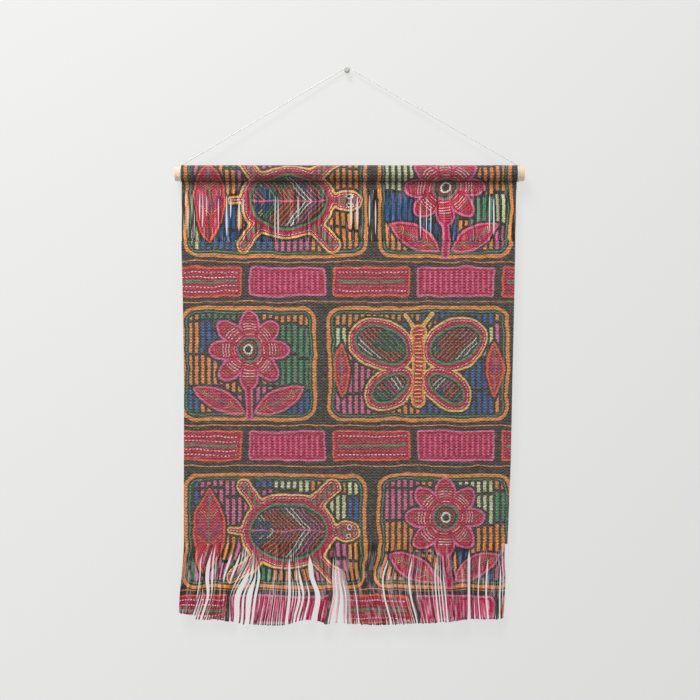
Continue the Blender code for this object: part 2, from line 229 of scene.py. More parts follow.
def bent_between(t, first, first_slope, last, last_slope):
    """The place at a share t along one span of a smooth line."""
    return (
        first * (2 * t**3 - 3 * t**2 + 1) + first_slope * (t**3 - 2 * t**2 + t)
        + last * (3 * t**2 - 2 * t**3) + last_slope * (t**3 - t**2)
    )


def through_points(points, points_a_span):
    """A smooth curve through given points, each slope weighed from its chords by nearness."""
    chords = [after - before for before, after in zip(points, points[1:])]
    slopes = [chords[0].normalized()]
    for before, after in zip(chords, chords[1:]):
        slopes.append(
            (before.normalized() * after.length + after.normalized() * before.length)
            / (before.length + after.length)
        )
    slopes.append(chords[-1].normalized())
    smooth = []
    for i, chord in enumerate(chords):
        bends = [slope * chord.length for slope in slopes[i:i + 2]]
        for step in range(points_a_span):
            t = step / points_a_span
            smooth.append(bent_between(t, points[i], bends[0], points[i + 1], bends[1]))
    return smooth + [points[-1]]


def even_steps(points, step):
    """The same line with its points at even distances, and how far along it each lies."""
    line = np.array(points)
    along = np.concatenate([[0.0], np.cumsum(np.linalg.norm(np.diff(line, axis=0), axis=1))])
    places = np.linspace(0.0, along[-1], max(int(round(along[-1] / step)), 3) + 1)
    return np.stack([np.interp(places, along, column) for column in line.T], axis=1), places


def across_line(line):
    """Two directions across a line at each of its points, which turn as little as they can."""
    tangents = np.gradient(line, axis=0)
    tangents /= np.linalg.norm(tangents, axis=1)[:, None]
    steep = abs(tangents[0][1]) >= 0.9
    side = np.cross(tangents[0], (1.0, 0.0, 0.0) if steep else (0.0, 1.0, 0.0))
    sides = []
    for tangent in tangents:
        side = side - tangent * np.dot(side, tangent)
        side = side / np.linalg.norm(side)
        sides.append(side)
    return np.array(sides), np.cross(tangents, sides)


def tubes(runs, side_count, halved_from=0):
    """Points and faces of closed tubes, from runs of a line, two directions across it and radii.

    Each face is halved from one of its corners, and both ends are closed.
    """
    turns = np.linspace(0.0, 2 * np.pi, side_count, endpoint=False)[:, None]
    points, faces, count = [], [], 0
    for line, sides, ups, radii in runs:
        ring = np.cos(turns) * sides[:, None] + np.sin(turns) * ups[:, None]
        points.append((line[:, None] + ring * radii[:, :, None]).reshape(-1, 3))
        here = count + np.arange(len(line) * side_count).reshape(-1, side_count)
        beside = np.roll(here, -1, axis=1)
        corners = [here[:-1], beside[:-1], beside[1:], here[1:]]
        corners = np.stack(corners[halved_from:] + corners[:halved_from], axis=2)
        faces += corners.reshape(-1, 4).tolist() + [here[0, ::-1].tolist(), here[-1].tolist()]
        count += here.size
    return np.concatenate(points), faces


def smooth_piece(name, points, faces, material):
    """A smooth-shaded piece of the hanging."""
    mesh = mesh_of(name, points.tolist(), faces, material)
    mesh.shade_smooth()
    piece = in_scene(name, mesh)
    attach(piece, "root")
    return piece


def laid_cord(name, runs, material):
    """A cord along one or more lines, with its plies as ridges that wind round it, in one mesh."""
    ridges = np.cos(PLIES * np.linspace(0.0, 2 * np.pi, CORD_SIDES, endpoint=False))
    radii = CORD_RADIUS * (1.0 - LAY_DEPTH * (0.5 - 0.5 * ridges))[None, :]
    laid = []
    for run in runs:
        line, along = even_steps(run, LAY_STEP)
        sides, ups = across_line(line)
        turn = (2 * np.pi * along / LAY_TURN_LENGTH)[:, None]
        laid_sides = sides * np.cos(turn) + ups * np.sin(turn)
        laid.append((line, laid_sides, ups * np.cos(turn) - sides * np.sin(turn), radii))
    return smooth_piece(name, *tubes(laid, CORD_SIDES), material)


def new_finish(name, values):
    """A new material with its shader's own values set: the material, its tree and its shader."""
    finish = bpy.data.materials.new(name)
    finish.use_nodes = True
    shader = finish.node_tree.nodes["Principled BSDF"]
    for place, value in values.items():
        shader.inputs[place].default_value = value
    return finish, finish.node_tree, shader


def shades(tree, share, stops, interpolation="LINEAR"):
    """A colour for each share from 0 to 1, by its stops."""
    node = add_node(tree, "ValToRGB", {"Fac": share})
    node.color_ramp.interpolation = interpolation
    elements = node.color_ramp.elements
    while len(elements) < len(stops):
        elements.new(0.5)
    for i, (position, colour) in enumerate(stops):
        elements[i].position = position
        elements[i].color = (*colour[:3], 1.0)
    return node.outputs["Color"]


def raise_surface(tree, shader, height, strength, distance):
    """Gives a finish the fine relief of a height."""
    relief = add_node(tree, "Bump", {"Height": height, "Strength": strength, "Distance": distance})
    tree.links.new(relief.outputs["Normal"], shader.inputs["Normal"])


def mottled(name, values, scale, detail, stops, strength):
    """A finish in two close shades, with a fine relief of the same grain."""
    finish, tree, shader = new_finish(name, values)
    place = add_node(tree, "TexCoord").outputs["Object"]
    grain = add_node(tree, "TexNoise", {"Vector": place, "Scale": scale, "Detail": detail})
    colour = shades(tree, grain.outputs["Fac"], stops)
    tree.links.new(colour, shader.inputs["Base Color"])
    raise_surface(tree, shader, grain.outputs["Fac"], strength, 0.0001)
    return finish


# Bleached cotton, a little grey in the lay of its plies, with a fine nap that lets light through.
cord_finish = mottled(
    "white_cotton_cord",
    {
        "Roughness": 0.9, "Specular IOR Level": 0.1, "Sheen Weight": 0.05, "Subsurface Weight": 1.0,
        "Subsurface Radius": (1.0, 1.0, 1.0), "Subsurface Scale": 0.003,
    },
    1400.0, 3.0, [(0.3, (0.985, 0.98, 0.97)), (0.62, (0.998, 0.997, 0.995))], 0.2
)
knot_centres = {
    side: Vector((LOOP_X[side], DOWEL_CENTRE.y, DOWEL_CENTRE.z + KNOT_RISE)) for side in (-1, 1)
}
over_pin = [
    Vector((CORD_BEND_RADIUS * math.cos(a), CORD_ON_PIN_Y, CORD_BEND_RADIUS * math.sin(a)))
    for a in np.radians(CORD_WRAP_ANGLES)
]
cord_ends, cord_runs = {}, {}
for side, pin_end in ((-1, over_pin[0]), (1, over_pin[-1])):
    away = (pin_end - knot_centres[side]).normalized()
    cord_ends[side] = knot_centres[side] + away * (KNOT_RADIUS + CLEARANCE)
    cord_runs[side] = [cord_ends[side].lerp(pin_end, share) for share in CORD_SHARES_OF_RUN]
cord_path = through_points(cord_runs[-1] + over_pin + cord_runs[1][::-1], 3)
hanging_cord = laid_cord("taut_cord", [cord_path], cord_finish)
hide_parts("hanging_cord")

for side, node in ((-1, "cord_loop_left"), (1, "cord_loop_right")):
    centre = Vector((LOOP_X[side], DOWEL_CENTRE.y, DOWEL_CENTRE.z))
    ring = [
        centre + LOOP_RADIUS * Vector((0.0, math.sin(a), math.cos(a)))
        for a in np.linspace(0.0, 2 * math.pi, 97)
    ]
    hitch = []
    for a in np.linspace(0.0, 2 * math.pi, 41):
        out = HITCH_REACH * (0.75 + 0.35 * math.cos(3 * a))
        rise = HITCH_DEPTH * math.sin(3 * a)
        around = Vector((out * math.cos(2 * a), out * math.sin(2 * a), rise))
        hitch.append(knot_centres[side] + around)
    tied = laid_cord(node + "_tied", [ring, hitch], cord_finish)
    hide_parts(node)

# The wall pin
# A small round cream peg in the wall, turned in one piece with a neck that the cord bears on. Its
# needle is inside the wall.
PIN_PROFILE = [
    (0.0, 0.0), (0.0, 4.6), (0.6, 4.8), (1.6, 4.8), (2.2, 4.5), (2.8, 4.0), (3.3, 3.8),
    (4.0, PIN_NECK_RADIUS), (8.0, PIN_NECK_RADIUS), (8.5, 3.85), (9.0, 4.2), (9.4, 4.7),
    (9.8, 4.94), (10.4, 5.0), (12.2, 5.0), (13.0, 4.86), (13.6, 4.5), (14.0, 3.9), (14.2, 3.1),
    (14.1, 2.2), (13.85, 1.2), (13.8, 0.0),
]
PIN_SIDES = 48
TURNED_EDGE = math.radians(50)


def turned(name, profile, foot, axis, sides, material):
    """A piece turned on a lathe, from its distances along the axis and its radii."""
    foot, axis = Vector(foot), Vector(axis)
    blank = bmesh.new()
    line = [
        blank.verts.new(foot + axis * (far * MM) + Vector((0.0, 0.0, out * MM)))
        for far, out in profile
    ]
    edges = [blank.edges.new(pair) for pair in zip(line, line[1:])]
    bmesh.ops.spin(
        blank, geom=line + edges, cent=foot, axis=axis, angle=2 * math.pi, steps=sides,
        use_merge=True
    )
    bmesh.ops.remove_doubles(blank, verts=blank.verts, dist=0.01 * MM)
    bmesh.ops.recalc_face_normals(blank, faces=blank.faces)
    mesh = bpy.data.meshes.new(name)
    blank.to_mesh(mesh)
    blank.free()
    mesh.materials.append(material)
    mesh.shade_smooth()
    mesh.set_sharp_from_angle(angle=TURNED_EDGE)
    piece = in_scene(name, mesh)
    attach(piece, "root")
    return piece


# Satin cream, with soft wear marks and a fine turned grain.
cream_peg = mottled(
    "cream_peg", {"Roughness": 0.42},
    420.0, 4.0, [(0.35, (0.49, 0.47, 0.395)), (0.62, (0.62, 0.605, 0.53))], 0.25
)
wall_pin = turned(
    "turned_pin", PIN_PROFILE, (0.0, 0.0, 0.0), (0.0, -1.0, 0.0), PIN_SIDES, cream_peg
)
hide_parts("wall_pin")

# The dowel
# A plain softwood rod, sanded and left bare, that fills the cloth's pocket and stands out at each
# side. Its grain runs along it, and its cut ends, with broken edges, show the growth rings.
ROD_LENGTH = (DOWEL_HIGH.x - DOWEL_LOW.x) / MM
ROD_RADIUS = DOWEL_RADIUS / MM
ROD_END = [
    (0.0, 0.0), (0.0, 6.0), (0.0, ROD_RADIUS - 0.6), (0.15, ROD_RADIUS - 0.22), (0.6, ROD_RADIUS),
]
ROD_SIDES = 96
HEART_OF_THE_LOG = (0.0, 0.0065, 0.192)
GRAIN_STRETCH = (0.035, 1.0, 1.0)


def bare_softwood():
    """Long pale grain with growth rings on the ends."""
    wood, tree, shader = new_finish("bare_softwood", {"Roughness": 0.6, "Specular IOR Level": 0.2})
    place = add_node(tree, "TexCoord").outputs["Object"]
    along_grain = add_node(
        tree, "Mapping", {"Vector": place, "Location": HEART_OF_THE_LOG, "Scale": GRAIN_STRETCH}
    ).outputs["Vector"]
    rings = add_node(
        tree, "TexWave",
        {
            "Vector": along_grain, "Scale": 150.0, "Distortion": 2.2, "Detail": 3.0,
            "Detail Scale": 60.0,
        },
        wave_type="RINGS", rings_direction="X"
    )
    pores = add_node(tree, "TexNoise", {"Vector": along_grain, "Scale": 900.0, "Detail": 4.0})
    grain = shades(
        tree, rings.outputs["Fac"], [(0.0, (0.89, 0.69, 0.475)), (1.0, (0.93, 0.785, 0.60))]
    )
    fleck = mixed(tree, 0.12, grain, pores.outputs["Color"], blend_type="MULTIPLY")
    tree.links.new(fleck, shader.inputs["Base Color"])
    raise_surface(tree, shader, pores.outputs["Fac"], 0.3, 0.0002)
    return wood


rod_profile = ROD_END + [(ROD_LENGTH * i / 10, ROD_RADIUS) for i in range(1, 10)]
rod_profile += [(ROD_LENGTH - far, out) for far, out in reversed(ROD_END)]
dowel = turned(
    "softwood_dowel", rod_profile, (DOWEL_LOW.x, DOWEL_CENTRE.y, DOWEL_CENTRE.z), (1.0, 0.0, 0.0),
    ROD_SIDES, bare_softwood()
)
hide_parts("dowel")

# The printed design
# The cloth and its bare warp are printed in one pass with a bold design of turtles, a butterfly,
# flowers and leaves in round-cornered frames, in the manner of cut and stitched layers. Its flat
# measures are millimetres: across from the middle and down from the crest of the pocket.
CRIMSON = (176, 44, 72)
CHARCOAL = (62, 64, 59)
ORANGE = (230, 146, 76)
RED_ORANGE = (228, 100, 68)
PINK = (216, 112, 152)
DEEP_PINK = (220, 94, 142)
GREEN = (76, 146, 106)
BLUE = (54, 104, 164)
GOLD = (234, 192, 110)
PALE_LIME = (206, 216, 166)
OFF_WHITE = (228, 222, 212)
RIB_PITCH = 2.6
RIB_SLIP = 1.3
WAVER = (11.0, 11.0, 0.0)
WIDE_CELL = ((-128.0, 0.0), (160.0, 100.0))
NARROW_CELL = ((176.0, 0.0), (118.0, 100.0))
CELL_CORNER = 24.0
FIRST_ROW_MIDDLE = 75.0
ROW_STEPS = ((221.0, 293.0), (515.0, 300.0))
BAND_MIDDLES = (221.0, 515.0, 810.0)
BAND_BOX_PITCH = 151.0
BAND_BOX_START = 31.0
BAND_BOX = (69.0, 27.0, 5.0)
BAND_ROW_PITCH = 8.4
DASH_LENGTH = 6.6
BAR_PITCH = 11.0
BAR_LENGTH = 58.0
BAR_BLOCK = 66.0
VEIN_PITCH = 4.8
SHELL_LINE_PITCH = 8.6
PETAL_RING_PITCH = 5.0
TALL_LEAF_X = -119.0
SMALL_LEAF_X = 138.0


class Signal:
    """What one output of a finish's nodes carries, written like plain arithmetic."""

    def __init__(self, tree, socket):
        self.tree = tree
        self.socket = socket

    def node(self, kind, *items, **settings):
        """A node that takes these items, in their order."""
        inputs = {i: getattr(item, "socket", item) for i, item in enumerate(items)}
        return add_node(self.tree, kind, inputs, **settings)


class Measure(Signal):
    """A number that varies over a finish."""

    def work(self, operation, *items, clamp=False):
        node = self.node("Math", self, *items, operation=operation, use_clamp=clamp)
        return Measure(self.tree, node.outputs[0])

    def __add__(self, other):
        return self.work("ADD", other)

    __radd__ = __add__

    def __sub__(self, other):
        return self.work("SUBTRACT", other)

    def __rsub__(self, other):
        return self.work("MULTIPLY_ADD", -1.0, other)

    def __mul__(self, other):
        return self.work("MULTIPLY", other)

    __rmul__ = __mul__

    def __truediv__(self, other):
        return self.work("DIVIDE", other)

    def __abs__(self):
        return self.work("ABSOLUTE")

    def least(self, other):
        return self.work("MINIMUM", other)

    def most(self, other):
        return self.work("MAXIMUM", other)

    def over(self, other):
        return self.work("GREATER_THAN", other)

    def up_to(self, top):
        """This number, held between 0 and a top of 1 or less."""
        return self.work("MINIMUM", top, clamp=True)

    def part(self):
        return self.work("FRACT")

    def count(self, pitch=1.0):
        """The whole number of pitches in this number."""
        return (self / pitch).work("FLOOR")

    def off_middle(self, pitch):
        """How far this number is from the middle of its pitch."""
        return abs((self / pitch).part() - 0.5) * pitch

    def melted(self, other, reach):
        return self.work("SMOOTH_MIN", other, reach)

    def inked(self, softness=0.8):
        """1 inside a shape and 0 outside, from its distance."""
        return self.work("MULTIPLY_ADD", -1.0 / softness, 0.5, clamp=True)

    def between(self, other, share):
        """This number where share is 0 and the other where it is 1."""
        return (other - self).work("MULTIPLY_ADD", share, self)


class Spot(Signal):
    """A place on the flat print, in millimetres."""

    split = None

    def work(self, operation, *items, output=0):
        socket = self.node("VectorMath", self, *items, operation=operation).outputs[output]
        return Measure(self.tree, socket) if output else Spot(self.tree, socket)

    def parts(self):
        """Its three numbers."""
        self.split = self.split or self.node("SeparateXYZ", self)
        return [Measure(self.tree, socket) for socket in self.split.outputs]

    def xy(self):
        return self.parts()[:2]

    def moved(self, x, y):
        return self.work("SUBTRACT", (x, y, 0.0))

    def turned(self, degrees):
        inputs = {"Vector": self.socket, "Angle": math.radians(-degrees)}
        node = add_node(self.tree, "VectorRotate", inputs, rotation_type="Z_AXIS")
        return Spot(self.tree, node.outputs[0])

    def length(self):
        return self.work("LENGTH", output=1)

    def oval(self, half_width, half_height):
        """The distance outside an ellipse about the middle."""
        near = self.work("MULTIPLY", (1 / half_width, 1 / half_height, 0.0)).length()
        far = self.work("MULTIPLY", (1 / half_width**2, 1 / half_height**2, 0.0)).length()
        return near * (near - 1.0) / (far + 0.0001)

    def limb(self, start, end, radius):
        """The distance outside a round-ended bar from start to end."""
        run = Vector((*end, 0.0)) - Vector((*start, 0.0))
        from_start = self.moved(*start)
        along = from_start.work("DOT_PRODUCT", tuple(run / run.length_squared), output=1)
        along = along.most(0.0).least(1.0)
        nearest = add_node(
            self.tree, "VectorMath", {0: tuple(run), "Scale": along.socket}, operation="SCALE"
        )
        return from_start.work("DISTANCE", nearest.outputs[0], output=1) - radius

    def round_box(self, half_width, half_height, corner):
        """The distance outside a rectangle with round corners."""
        out = self.work("ABSOLUTE").moved(half_width - corner, half_height - corner)
        x, y = out.xy()
        beyond = out.work("MAXIMUM", (0.0, 0.0, 0.0)).length()
        return beyond + x.most(y).least(0.0) - corner

    def leaf(self, half_length, half_width):
        """The distance outside a pointed leaf that lies along x, between two arcs."""
        radius = (half_length**2 + half_width**2) / (2 * half_width)
        x, y = self.xy()
        centre = (0.0, half_width - radius, 0.0)
        return together(x, abs(y)).work("DISTANCE", centre, output=1) - radius


def together(x, y, z=0.0):
    """A place from its separate measures."""
    return Spot(x.tree, x.node("CombineXYZ", x, y, z).outputs[0])


def ink(colour):
    """A dye as a shader takes it, from its values on paper or from the socket that carries it."""
    if isinstance(colour, bpy.types.NodeSocket):
        return colour
    return (*[((c / 255 + 0.055) / 1.055) ** 2.4 for c in colour], 1.0)


def chance_of(x, y):
    """An even chance from 0 to 1 that changes with two whole numbers."""
    spot = {"Vector": together(x, y).socket}
    node = add_node(x.tree, "TexWhiteNoise", spot, noise_dimensions="2D")
    return Measure(x.tree, node.outputs["Value"])


def cloudy(spot, scale, detail=2.0, output="Fac"):
    """Soft noise of about 0.5 over the print, as a measure, or as a colour for a spot."""
    inputs = {"Vector": spot.socket, "Scale": scale, "Detail": detail}
    node = add_node(spot.tree, "TexNoise", inputs, noise_dimensions="2D")
    return (Measure if output == "Fac" else Spot)(spot.tree, node.outputs[output])


def dye_by(share, dyes):
    """One dye of a row of dyes, by a share from 0 to 1."""
    return shades(share.tree, share.socket, [(end, ink(dye)) for end, dye in dyes], "CONSTANT")


class Printing:
    """Colours laid one over another, as a screen print is."""

    def __init__(self, tree, ground):
        self.tree = tree
        self.colour = ground

    def lay(self, colour, where):
        """Lays a dye where the share is 1."""
        self.colour = mixed(self.tree, where.socket, self.colour, ink(colour))

    def lay_edged(self, edge, colour, shape, inset):
        """Lays a shape in a colour, with an edge of another round it."""
        self.lay(edge, (shape - 2.0).inked())
        self.lay(colour, (shape + inset).inked())

    def shade(self, tone):
        """Makes the colours so far lighter or darker, by a tone of about 1."""
        inputs = {0: self.colour, "Scale": tone.socket}
        self.colour = add_node(self.tree, "VectorMath", inputs, operation="SCALE").outputs[0]


def turtle(spot):
    """A turtle from above, head to the right: the whole body, the shell within it and its half."""
    x, y = spot.xy()
    half = together(x, abs(y))
    shell_spot = half.moved(22.0, 0.0)
    whole = shell_spot.oval(84.0, 66.0).melted(half.limb((96.0, 0.0), (122.0, 0.0), 10.0), 10.0)
    whole = whole.melted(half.moved(128.0, 0.0).oval(23.0, 17.0), 5.0)
    whole = whole.melted(half.limb((66.0, 44.0), (104.0, 80.0), 13.0), 8.0)
    whole = whole.melted(half.limb((-30.0, 44.0), (-58.0, 80.0), 11.5), 8.0)
    whole = whole.melted(half.limb((-50.0, 0.0), (-80.0, 0.0), 5.0), 6.0)
    return whole, shell_spot.oval(68.0, 50.0), half


def butterfly(spot):
    """A butterfly with open wings: the whole, the wings' dark fields and the body."""
    x, y = spot.xy()
    half = together(abs(x), y)
    upper = half.moved(66.0, -34.0).turned(-22.0).oval(60.0, 44.0)
    lower = half.moved(50.0, 44.0).turned(34.0).oval(48.0, 33.0)
    wings = upper.melted(lower, 5.0)
    head = half.moved(0.0, -56.0).oval(13.0, 13.0)
    body = half.limb((0.0, -40.0), (0.0, 66.0), 10.0).least(head)
    feelers = half.limb((4.0, -62.0), (24.0, -88.0), 1.8)
    return wings.melted(body, 3.0).least(feelers), wings + 13.0, body


def flower(spot):
    """A flower with its stem and leaves: the whole, petals, distance out, leaves and leaf spot."""
    x, y = spot.xy()
    centre = spot.moved(0.0, -24.0)
    cx, cy = centre.xy()
    sector = cy.work("ARCTAN2", cx).work("PINGPONG", math.pi / 8)
    out = centre.length()
    petal_spot = together(out * sector.work("COSINE") - 44.0, out * sector.work("SINE"))
    petals = petal_spot.oval(27.0, 16.5).melted(out - 30.0, 5.0)
    half = together(abs(x), y)
    stem = half.limb((0.0, 30.0), (0.0, 96.0), 5.0)
    leaf_spot = half.moved(54.0, 66.0).turned(-28.0)
    leaves = leaf_spot.leaf(48.0, 18.0)
    return petals.least(stem.least(leaves)), petals, out, leaves, leaf_spot


def printed_design():
    """The whole print as one node group: a flat place in, its dye out."""
    group = bpy.data.node_groups.new("printed_design", "ShaderNodeTree")
    group.interface.new_socket("Place", in_out="INPUT", socket_type="NodeSocketVector")
    group.interface.new_socket("Dye", in_out="OUTPUT", socket_type="NodeSocketColor")
    flat_u, flat_v = Spot(group, group.nodes.new("NodeGroupInput").outputs[0]).xy()
    slip = (chance_of(flat_v.count(RIB_PITCH), 3.0) - 0.5) * RIB_SLIP
    flat = together(flat_u + slip, flat_v)
    flat_u, flat_v = flat.xy()
    drift = cloudy(flat, 0.018, output="Color").work("SUBTRACT", (0.5, 0.5, 0.5))
    u, v = drift.work("MULTIPLY_ADD", WAVER, flat).xy()

    step_one, step_two = (v.over(start) for start, step in ROW_STEPS)
    second_row = step_one - step_two
    other_rows = 1.0 - second_row
    pu = u * (1.0 - second_row * 2.0)
    pv = v - FIRST_ROW_MIDDLE - step_one * ROW_STEPS[0][1] - step_two * ROW_STEPS[1][1]
    cell = together(pu, pv)
    wide = cell.moved(*WIDE_CELL[0])
    narrow = cell.moved(*NARROW_CELL[0])
    frames = wide.round_box(*WIDE_CELL[1], CELL_CORNER)
    frames = frames.least(narrow.round_box(*NARROW_CELL[1], CELL_CORNER))

    turtle_body, shell, turtle_half = turtle(wide)
    fly_body, wing_fields, fly_torso = butterfly(wide)
    flower_all, petals, from_flower, flower_leaves, flower_leaf_spot = flower(narrow)
    wx, wy = wide.xy()
    tall_leaf = together(wy, wx - TALL_LEAF_X).leaf(74.0, 27.0)
    small_leaf_x = abs(wx) - SMALL_LEAF_X
    small_leaves = together(wy - 12.0, small_leaf_x).leaf(46.0, 13.0)
    animal = turtle_body.between(fly_body, second_row)
    panel = shell.between(wing_fields, second_row)
    leaves = tall_leaf.between(small_leaves, second_row).least(flower_leaves)
    figures = animal.least(leaves).least(flower_all)

    screen = Printing(group, ink(CHARCOAL))
    stitches = (flat_u * 0.17 + flat_v * 0.12).part().over(0.36)
    worn = (cloudy(flat, 0.4, 3.0) * 3.0 - 0.75).up_to(1.0)

    # The bands of boxes between the rows, dashed or barred in turn, between two thin lines.
    first, second, third = (abs(v - middle) for middle in BAND_MIDDLES)
    band = first.least(second).least(third)
    band_u = (u + BAND_BOX_START) / BAND_BOX_PITCH
    box_number = band_u.count()
    odd_box = (box_number / 2.0).part().over(0.25)
    even_box = 1.0 - odd_box
    box = together((band_u.part() - 0.5) * BAND_BOX_PITCH, band).round_box(*BAND_BOX)
    screen.lay(RED_ORANGE, box.inked())
    screen.lay(PINK, box.inked() * odd_box)
    screen.lay(CRIMSON, (box + 3.6).inked())
    row_place = band + BAND_ROW_PITCH / 2
    row_number = row_place.count(BAND_ROW_PITCH)
    dashes = (flat_u / DASH_LENGTH + row_number * 0.4).part().over(0.42)
    row_dye = dye_by(
        chance_of(row_number, box_number),
        [(0.0, OFF_WHITE), (0.34, PINK), (0.55, GOLD), (0.75, GREEN)]
    )
    rows_apart = (row_place.off_middle(BAND_ROW_PITCH) - 0.8).most(box + 8.0)
    screen.lay(row_dye, rows_apart.inked() * dashes * even_box)
    screen.lay(GREEN, (band - 2.2).most(box + 10.0).inked() * even_box)
    screen.lay(DEEP_PINK, (flat_u.off_middle(9.6) - 1.9).most(box + 8.0).inked() * odd_box)
    screen.lay(ORANGE, (abs(band - 36.0) - 0.9).most(6.0 - frames).inked())

    # The frames, and the short bars that fill their ground.
    screen.lay(CHARCOAL, (frames - 5.0).inked())
    screen.lay(ORANGE, (abs(frames) - 3.1).inked())
    screen.lay(GREEN, (abs(frames + 7.2) - 1.0).inked())
    slid = pv + chance_of(flat_u.count(4 * BAR_PITCH), 1.0) * 30.0
    bars = (flat_u.off_middle(BAR_PITCH) - 2.8).most(slid.off_middle(BAR_LENGTH) - 26.0)
    bars = bars.most(6.4 - figures).most(frames + 11.5)
    row_of_bars = slid.count(BAR_LENGTH) + step_one * 5.0 + step_two * 9.0
    bar_dye = dye_by(
        chance_of(pu.count(BAR_BLOCK) + 0.5, row_of_bars),
        [(0.0, ORANGE), (0.46, GREEN), (0.60, BLUE), (0.76, PINK), (0.90, PALE_LIME)]
    )
    screen.lay(bar_dye, bars.inked(1.0))

    # The leaves, with their veins.
    screen.lay_edged(RED_ORANGE, CRIMSON, leaves, 1.6)
    across = (wx - TALL_LEAF_X).between(small_leaf_x, second_row)
    fx, fy = flower_leaf_spot.xy()
    flower_side = pu.over(45.0)
    leaf_lean = (wy + abs(across) * 0.9).between(abs(fy) * 0.9 - fx, flower_side)
    vein_dye = dye_by(
        chance_of(leaf_lean.count(VEIN_PITCH), 6.0),
        [
            (0.0, PINK), (0.36, RED_ORANGE), (0.54, GREEN), (0.68, OFF_WHITE), (0.80, GOLD),
            (0.9, BLUE),
        ]
    )
    veins = (leaf_lean.off_middle(VEIN_PITCH) - 0.75).most(leaves + 5.0)
    screen.lay(vein_dye, veins.inked() * worn)
    midrib = abs(across.between(fy, flower_side)) - 1.0
    screen.lay(GREEN, midrib.most(leaves + 3.5).inked())

    # The turtles and the butterfly: a barred rim with a stitched line, and a dark field of threads.
    screen.lay_edged(GOLD, CRIMSON, animal, 1.4)
    inner_bar = (flat_u.off_middle(9.0) - 2.1).most(animal + 7.5).most(7.5 - panel)
    screen.lay(GREEN, inner_bar.inked())
    seam_run = (abs(animal + 4.6) - 0.7).most(4.0 - panel)
    screen.lay(OFF_WHITE, seam_run.inked() * stitches * 0.75)
    screen.lay_edged(GREEN, CHARCOAL, panel, 1.5)
    lean = (wx + abs(wy) * 0.85).between(abs(wx) * 0.9 + wy * 0.8, second_row)
    line_pair = lean.count(SHELL_LINE_PITCH).count(2.0)
    thread_dye = dye_by(
        chance_of(line_pair, 8.0) * 0.7 + cloudy(flat, 0.02, 1.0) * 0.3,
        [
            (0.0, OFF_WHITE), (0.26, GREEN), (0.44, RED_ORANGE), (0.56, PINK), (0.70, BLUE),
            (0.82, PALE_LIME),
        ]
    )
    uprights = (flat_u.off_middle(5.2) - 0.6).most(panel + 4.6)
    screen.lay(thread_dye, uprights.inked() * 0.3)
    lines = (lean.off_middle(SHELL_LINE_PITCH) - 1.0).most(panel + 4.6)
    screen.lay(thread_dye, lines.inked() * (worn * 0.5 + 0.5))
    screen.lay(PINK, (abs(wy) - 1.2).most(shell + 2.0).inked() * other_rows)
    screen.lay(ORANGE, fly_torso.inked() * second_row)
    screen.lay(CRIMSON, (fly_torso + 2.8).inked() * second_row)
    torso_rings = (wy.off_middle(7.0) - 1.2).most(fly_torso + 4.2)
    screen.lay(GOLD, torso_rings.inked() * second_row)
    eyes = turtle_half.moved(132.0, 8.0).length()
    for edge, dye in ((4.6, OFF_WHITE), (2.6, CHARCOAL)):
        screen.lay(dye, (eyes - edge).inked() * other_rows)

    # The flowers, with rings of stitches and a ringed eye.
    screen.lay_edged(PINK, CRIMSON, flower_all.most(1.0 - flower_leaves), 1.6)
    ring_dye = dye_by(
        chance_of(from_flower.count(PETAL_RING_PITCH), 4.0),
        [(0.0, PINK), (0.35, GOLD), (0.55, OFF_WHITE), (0.7, GREEN), (0.85, RED_ORANGE)]
    )
    petal_ring = (from_flower.off_middle(PETAL_RING_PITCH) - 0.75).most(petals + 5.0)
    screen.lay(ring_dye, petal_ring.inked() * worn)
    for edge, dye in ((21.0, GREEN), (18.5, CHARCOAL), (9.0, OFF_WHITE), (6.0, CHARCOAL)):
        screen.lay(dye, (from_flower - edge).inked())
    rays = (from_flower.work("MODULO", 3.4) - 1.1).most(from_flower - 17.0).most(10.5 - from_flower)
    screen.lay(RED_ORANGE, rays.inked() * worn)
    group.links.new(screen.colour, group.nodes.new("NodeGroupOutput").inputs[0])
    return group


print_group = printed_design()


def stored(tree, name, output="Vector"):
    """What the mesh carries at each point under a name."""
    return add_node(tree, "Attribute", attribute_name=name).outputs[output]


def printed_on(flat):
    """The print of a flat place, for more colours to be laid over it."""
    node = add_node(flat.tree, "Group", {}, node_tree=print_group)
    flat.tree.links.new(flat.socket, node.inputs[0])
    return Printing(flat.tree, node.outputs[0])


# The woven cloth
# Ribbed cotton in plain weave: each soft weft makes one level rib over and under a spaced warp. Its
# top is folded over the dowel and sewn down as a pocket. The bare warp below is part of it.
RIB = RIB_PITCH * MM
ROWS_A_RIB = 4
WARP_PITCH = 3.66
FRONT_COLUMNS = 72
COLUMNS_A_BACK_COLUMN = 6
RIB_RELIEF = 0.42 * MM
SELVEDGE_TURN = 0.45 * MM
HALF_SHEET = 0.6 * MM
CLOTH_THICKNESS = 1.8 * MM
LAYER_GAP = 0.5 * MM
FRONT_Y = DOWEL_CENTRE.y - (CLOTH_THICKNESS + LAYER_GAP) / 2
POCKET_TURN_RADIUS = 0.8 * MM
POCKET_LOOSE_ABOVE = 1.06
POCKET_DRAWN_IN_BELOW = 0.975
POCKET_SIDES_Z = -205 * MM
HEM_FLAP = 14 * MM
FOLDS_START = 30 * MM
OPENWORK_TOP_Z = -217.8 * MM
OPENWORK_FOOT_Z = -309.0 * MM
LAST_WEFT_Z = -853 * MM
SEAM_V = 41.8
SEAM_TO_OPENWORK = 14.8
SEAM_DIP = 0.7 * MM
SEAM_DIP_REACH = 1.5
Edge = namedtuple("Edge", "z left right")
